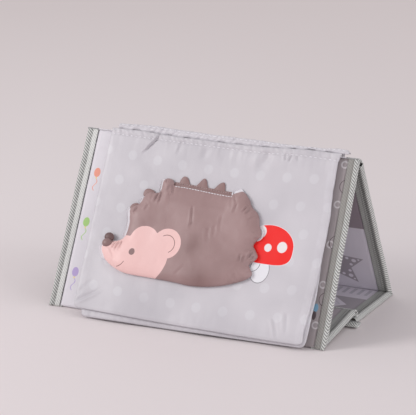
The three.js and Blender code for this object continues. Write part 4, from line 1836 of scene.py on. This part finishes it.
    def height(self, x: float, y: float) -> float:
        """Returns the padded cloth's height over the lining.

        Args:
            x: Place across the flap.
            y: Place up it.

        Returns:
            The height, in metres.
        """
        edge, walk = self.rim.nearest(x, y)
        sewn = smooth((x + 36 * MM) / (5 * MM)) * smooth((30 * MM - x) / (5 * MM)) * smooth((y + 30 * MM) / (24 * MM))
        shoulder = lerp(self.shoulder, self.sewn_shoulder, sewn)
        pillow = math.sqrt(max(1 - (1 - min(edge / shoulder, 1.0)) ** 2, 0.0))
        puff = self.crown * pillow * (0.88 + 0.12 * ripple(x, y, 40 * MM, 41))
        near = math.exp(-edge / (6.5 * MM)) * smooth(edge / (1.0 * MM))
        rear = smooth((x - 38 * MM) / (10 * MM))
        folds = lerp(ripple(walk, 0.25 * edge, 4.6 * MM, 42), ripple(walk, 0.25 * edge, 2.9 * MM, 44), rear)
        creases = sum(crease.depth_at(x, y) for crease in self.creases)
        slack = (0.3 * MM * ripple(x, y * 0.6, 17 * MM, 43) + 0.12 * MM * ripple(x, y, 6 * MM, 46)) * pillow
        crinkle = 0.5 * MM * ripple(x, y, 2.7 * MM, 45) * rear * math.exp(-edge / (10 * MM))
        lift = puff + (1.3 + 0.5 * rear) * MM * near * folds * self.gather(x, y) - creases * pillow**0.5
        lift += slack + crinkle * pillow
        return lerp(self.rim_height, self.sewn_height, sewn) + max(lift, 0.05 * MM)

    def fold_over(self, piece: bpy.types.Object) -> None:
        """Bakes a piece's transform into its mesh; the two points beside the stitch line are worked out and left
        unused.
        """
        start, end = self.place(0, 0.5 * MM, 0), self.place(0, -8 * MM, 0)
        tuple(start)
        tuple(end)
        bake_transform(piece)

    def drawn(self, turn: float) -> float:
        """Returns how far the padded cloth is drawn in, where the lining shows beside it."""
        return max(-self.lining_edge(turn), 0.0) * 0.25

    def pad(self) -> bpy.types.Object:
        """Returns the padded front cloth, closed over its lining."""
        lift = self.seat + self.lining + 0.08 * MM

        def top(turn: float, rise: float) -> Vector:
            """Returns a point of the cloth."""
            x, y = self.spread(turn, rise, self.drawn(turn))
            return self.place(x, y, lift + self.height(x, y))

        def under(turn: float, rise: float) -> Vector:
            """Returns a point of the flat underside."""
            return self.place(*self.spread(turn, rise, self.drawn(turn)), lift)

        return shell("hedgehog_cloth", (640, 66), top, under, self.spread)

    def lining_edge(self, turn: float) -> float:
        """Returns how far the lining is drawn in from the cloth's rim, below zero where it shows."""
        x, y = (value / MM for value in self.rim.at(turn))
        brow = 2.0 * smooth((x + 61) / -4) * smooth((y + 58) / 4) * smooth((-27 - y) / 2)
        tuft = 1.5 * smooth((x + 42.5) / -1.5) * smooth((y + 9) / 3) * smooth((8 - y) / 3)
        notch = 1.5 * smooth((x + 58) / -2) * smooth((y + 24) / 3) * smooth((-14 - y) / 3)
        muzzle = 1.6 * smooth((x + 80) / -4)
        tail = 1.6 * smooth((x - 27) / 2) * smooth((38 - x) / 3) * smooth((y - 2) / 1.5)
        rear = 0.8 * smooth((x - 62) / 3) * smooth((y + 40) / 4)
        shown = max(brow, tuft, notch, muzzle, tail, rear)
        return lerp(0.6 * MM, -1.75 * MM * shown, smooth(shown * 4))

    def back(self) -> bpy.types.Object:
        """Returns the white lining, whose turned edge shows beside the brow, the tufts and the muzzle."""

        def place(turn: float, rise: float, lift: float) -> Vector:
            """Returns a point of the lining."""
            x, y = self.spread(turn, rise, self.lining_edge(turn))
            swell = 0.9 * MM * smooth((rise - 0.86) / 0.14) if lift > self.seat else 0.0
            return self.place(x, y, lift + swell)

        return layered("hedgehog_back", (420, 24), place, self.seat + self.lining, self.seat, self.spread)

    def lobe(self, name: str, centre: Point, radii: tuple[float, float, float]) -> bpy.types.Object:
        """Makes one stuffed lobe of the nose.

        Args:
            name: Its name.
            centre: Its centre in the flap's coordinates.
            radii: Its radii across, up and out.

        Returns:
            The lobe.
        """

        def place(turn: float, rise: float, front: bool) -> Vector:
            """Returns a point of the lobe's front or back half."""
            angle = 2 * math.pi * turn
            share = math.sin(rise * math.pi / 2)
            dent = 1 + 0.05 * ripple(math.cos(angle), math.sin(angle), 0.5, 51)
            x = centre[0] + radii[0] * share * math.cos(angle) * dent
            y = centre[1] + radii[1] * share * math.sin(angle) * dent
            bulge = radii[2] * math.sqrt(max(1 - share**2, 0.0))
            middle = self.seat + 0.4 * MM + radii[2]
            across, up = self.to_page(*centre)
            out = self.hang.front(across, up) + middle + (bulge if front else -bulge)
            return self.hang.layout.front.place(*self.to_page(x, y), out)

        def flat(turn: float, rise: float) -> Point:
            """Returns the cloth's own coordinates, round the lobe and out from its middle."""
            angle = 2 * math.pi * turn
            return centre[0] + radii[0] * rise * math.cos(angle), centre[1] + radii[1] * rise * math.sin(angle)

        return shell(name, (48, 14), lambda s, t: place(s, t, True), lambda s, t: place(s, t, False), flat)

    def spike(self, name: str, left: SmoothLine, right: SmoothLine) -> bpy.types.Object:
        """Makes one flat spike between its left and right edges.

        Args:
            name: Its name.
            left: The left edge, from the strip to the tip.
            right: The right edge, from the strip to the tip.

        Returns:
            The spike.
        """

        def flat(share: float, rise: float) -> Point:
            """Returns a point between the two edges."""
            a, b = left.at(rise), right.at(rise)
            return lerp(a[0], b[0], share), lerp(a[1], b[1], share)

        def place(share: float, rise: float, lift: float) -> Vector:
            """Returns a point of the spike's cloth."""
            soft = 0.35 * MM * math.sin(math.pi * share) * (1 - 0.5 * rise)
            soft += 0.16 * MM * ripple(flat(share, rise)[0], rise * MM, 3.6 * MM, 62)
            return self.place(*flat(share, rise), lift + (soft if lift > self.seat else 0.0))

        return layered(name, (40, 16), place, 1.0 * MM, 0.35 * MM, flat)

    def lobe_behind(self, name: str, outline: SmoothLine, centre: Point) -> bpy.types.Object:
        """Makes one flat padded spine that looks out from behind the flap.

        Args:
            name: Its name.
            outline: Its closed outline.
            centre: A point that sees all of the outline.

        Returns:
            The spine.
        """

        def flat(turn: float, rise: float) -> Point:
            """Returns a point between the centre and the outline."""
            rim = outline.at(turn)
            share = math.sin(rise * math.pi / 2)
            return lerp(centre[0], rim[0], share), lerp(centre[1], rim[1], share)

        def top(turn: float, rise: float) -> Vector:
            """Returns a point of the spine's padded face."""
            return self.place(*flat(turn, rise), 0.9 * MM + 1.5 * MM * math.sqrt(max(1 - rise**2, 0.0)))

        return shell(name, (48, 10), top, lambda s, t: self.place(*flat(s, t), 0.35 * MM), flat)

    def build(self, wardrobe: Wardrobe) -> None:
        pad = self.pad()
        dress(pad, wardrobe.face, "", "hedgehog_cloth", "hedgehog_front_cloth", "hedgehog_wadding")
        lining = dress(self.back(), wardrobe.lining, "", "flap_lining", "hedgehog_lining")
        self.fold_over(pad)
        self.fold_over(lining)
        upper = self.lobe("nose_upper", (-82.6 * MM, -58.8 * MM), (5.0 * MM, 4.4 * MM, 2.6 * MM))
        dress(upper, wardrobe.nose_dark, "hedgehog_flap", "nose_cloth", "hedgehog_nose")
        # The lower lobe wears the lighter copy of the nose satin, a painted highlight.
        lower = self.lobe("nose_lower", (-82.4 * MM, -64.8 * MM), (5.1 * MM, 4.5 * MM, 3.5 * MM))
        dress(lower, wardrobe.lit_nose, "hedgehog_flap", "nose_cloth")
        strip = self.spike("spike_strip", *(SmoothLine(edge) for edge in self.strip_edges))
        dress(strip, wardrobe.fur, "page_one", "hedgehog_cloth", "hedgehog_spike_strip")
        for index, edges in enumerate(self.spike_edges):
            spike = self.spike(f"spike_{index + 1}", *(SmoothLine(edge) for edge in edges))
            dress(spike, wardrobe.fur, "page_one", "hedgehog_cloth")
        for name, points in (("spine_high", self.spine_high), ("spine_low", self.spine_low)):
            middle = tuple(sum(point[axis] for point in points) / len(points) * MM for axis in (0, 1))
            spine = self.lobe_behind(name, SmoothLine(points, closed=True), middle)
            dress(spine, wardrobe.fur, "hedgehog_flap", "hedgehog_cloth")
        self.build_stitches(wardrobe)

    def build_stitches(self, wardrobe: Wardrobe) -> None:
        """Makes the white stitches along the hinge line and the fainter row above it."""
        out = self.hang.layout.front.out
        rows = (
            ("flap_stitches", (-31.0, 29.4), 0.0, 21, 2.6, 0.75, wardrobe.thread),
            ("strip_stitches", (-31.0, 27.0), 3.3, 23, 1.4, 0.45, wardrobe.greyer_thread),
        )
        for name, (low, high), y, count, length, width, thread in rows:

            def line(share: float, low: float = low, high: float = high, y: float = y) -> Vector:
                """Returns a point of the row, on the cloth's own surface."""
                x, up = lerp(low, high, share) * MM, (y + 0.3 * math.sin(6 * share)) * MM
                lift = self.seat + self.lining + 0.25 * MM + self.height(x, up) if y < 1 else 1.6 * MM
                return self.place(x, up, lift)

            row = StitchRow(name, line, out, count, length=length * MM, width=width * MM, height=0.6 * MM, seed=71)
            dress(row.build(), thread, "page_one", "hedgehog_cloth")


# ---- Studio


@dataclass
class Studio:
    """The pale floor, soft lights and camera of the photograph."""

    azimuth: float = 26.6
    elevation: float = 15.6
    distance: float = 1.609
    lens: float = 156.1
    aim_across: float = 26.9 * MM
    aim_up: float = 117.1 * MM
    floor_size: float = 14.0
    floor_shift: float = 4.0
    floor_drop: float = 0.0002
    shade_width: float = 0.5

    def camera(self, layout: Layout) -> None:
        """Adds the camera, aimed over the front fold as in the photograph."""
        data = bpy.data.cameras.new("camera")
        data.lens = self.lens
        data.sensor_width = 36
        turn, lift = math.radians(self.azimuth), math.radians(self.elevation)
        back = Vector((math.sin(turn) * math.cos(lift), -math.cos(turn) * math.cos(lift), math.sin(lift)))
        target = Vector((self.aim_across, layout.front.foot.y, self.aim_up))
        made = bpy.data.objects.new("camera", data)
        made.location = target + back * self.distance
        made.rotation_euler = back.to_track_quat("Z", "Y").to_euler()
        bpy.context.scene.collection.objects.link(made)
        bpy.context.scene.camera = made

    @staticmethod
    def light(
        name: str, place: Vector, aim: Vector, size: float, power: float, tint: Colour, cone: float = 0.0
    ) -> None:
        """Adds a square soft light, or a round one whose beam fades towards its edge.

        Args:
            name: Its name.
            place: Where it stands.
            aim: What it points at.
            size: Its side.
            power: Its power in watts.
            tint: Its colour.
            cone: The whole angle of its beam, or nothing where it shines all round.
        """
        data = bpy.data.lights.new(name, "SPOT" if cone else "AREA")
        if cone:
            data.spot_size, data.spot_blend, data.shadow_soft_size = cone, 1.0, size / 2
        else:
            data.shape, data.size = "SQUARE", size
        data.energy = power
        data.color = tint[:3]
        made = bpy.data.objects.new(name, data)
        made.location = place
        made.rotation_euler = (place - aim).to_track_quat("Z", "Y").to_euler()
        bpy.context.scene.collection.objects.link(made)

    def floor(self) -> None:
        """Adds the floor, which passes into a glowing backdrop behind the book, with painted shade darker to the
        right and further back.
        """
        mesh = bmesh.new()
        bmesh.ops.create_grid(mesh, x_segments=8, y_segments=8, size=self.floor_size / 2)
        bmesh.ops.translate(mesh, vec=Vector((0, self.floor_shift, -self.floor_drop)), verts=mesh.verts)
        made = link(mesh, "floor")
        shader = Shader("floor_paper", 0.9, Specular_IOR_Level=0.1)
        where = shader.node("ShaderNodeTexCoord").outputs["Object"]
        split = shader.node("ShaderNodeSeparateXYZ", inputs={0: where})
        across, deep = Signal(shader, split.outputs[0]), Signal(shader, split.outputs[1])
        turn = math.radians(self.azimuth)
        far = deep * math.cos(turn) - across * math.sin(turn)
        beside = deep * math.sin(turn) + across * math.cos(turn)
        shade_to_right = (beside / self.shade_width + 0.5).held()
        # Painted shade: the floor's own colour darkens a little to the right.
        shader.finish(shader.mix(shade_to_right, colour(234, 225, 226), colour(230, 222, 223)))
        # The backdrop glows in place of the lit room behind, with painted shade darker to the right and further back.
        near = shader.mix(shade_to_right, colour(221, 212, 214), colour(214, 205, 207))
        tone = shader.mix(far.math("MULTIPLY", far - 0.12, 0.62, clamp=True), near, colour(203, 193, 194))
        inputs = {"Base Color": BLACK, "Emission Color": tone, "Emission Strength": 1.0, "Specular IOR Level": 0.0}
        backdrop = shader.node("ShaderNodeBsdfPrincipled", inputs=inputs)
        seen = Signal(shader, shader.node("ShaderNodeLightPath").outputs["Is Camera Ray"])
        veil = far.math("MULTIPLY", far - 0.15, 4.0, clamp=True) * seen
        surfaces = {0: veil, 1: shader.surface.outputs[0], 2: backdrop.outputs[0]}
        mixed = shader.node("ShaderNodeMixShader", inputs=surfaces)
        shader.tree.links.new(mixed.outputs[0], shader.tree.nodes["Material Output"].inputs["Surface"])
        made.data.materials.append(shader.material)

    @staticmethod
    def world() -> None:
        """Sets the even light of the room."""
        world = bpy.data.worlds.new("room")
        world.use_nodes = True
        background = world.node_tree.nodes["Background"]
        background.inputs["Color"].default_value = colour(252, 250, 252)
        background.inputs["Strength"].default_value = 0.61
        bpy.context.scene.world = world

    def build(self, layout: Layout) -> None:
        """Sets up the whole studio."""
        self.camera(layout)
        self.floor()
        self.world()
        middle = Vector((0, 0, 0.08))
        self.light("key", Vector((-1.7, -1.35, 1.1)), middle, 0.9, 26, colour(255, 254, 254))
        self.light("fill", Vector((2.0, -0.35, 0.7)), middle, 1.2, 11, colour(252, 252, 255))
        opening = Vector((0.13, 0.03, 0.045))
        self.light("card", Vector((0.90, -0.89, 0.11)), opening, 0.2, 10, colour(255, 254, 255), math.radians(15))
        bpy.context.scene.view_settings.view_transform = "Standard"


def main() -> None:
    """Builds the book piece by piece."""
    logging.basicConfig(level=logging.INFO, format="%(message)s")
    stack = Stack()
    layout = Layout(frame["joints"], stack)
    Studio().build(layout)
    wardrobe = Wardrobe()
    pressed = (PRESSED_ROLL, PRESSED_ROLL)
    front = Panel(
        "front_panel", "front_panel", layout.front, layout.front_angle, layout.panel - 1.2 * MM, stack, 1.0,
        (WIDE_ROLL, NARROW_ROLL), (2.6 * MM, 1.2 * MM),
    )  # fmt: skip
    rear = Panel("rear_panel", "rear_panel", layout.rear, layout.rear_angle, layout.panel - 0.1 * MM, stack, 2.0)
    base_front = Panel(
        "base_front", "base_front_flap", layout.base_front, layout.front_angle, layout.flap_reach, stack, 3.0, pressed
    )
    base_rear = Panel(
        "base_rear", "base_rear_flap", layout.base_rear, layout.rear_angle, layout.hem_reach, stack, 4.0, pressed
    )
    front.build(wardrobe, wardrobe.cover, wardrobe.stars)
    rear.build(wardrobe, wardrobe.cover, wardrobe.stars)
    base_front.build(wardrobe, wardrobe.cover, wardrobe.inside)
    base_rear.build(wardrobe, wardrobe.cover, wardrobe.stripes)
    Ridge(layout, stack).build(wardrobe)
    BaseClosure(layout, stack).build(wardrobe)
    hang = Hang(layout, stack)
    Pages(hang).build(wardrobe)
    Hedgehog(hang).build(wardrobe)


if __name__ == "__main__":
    main()
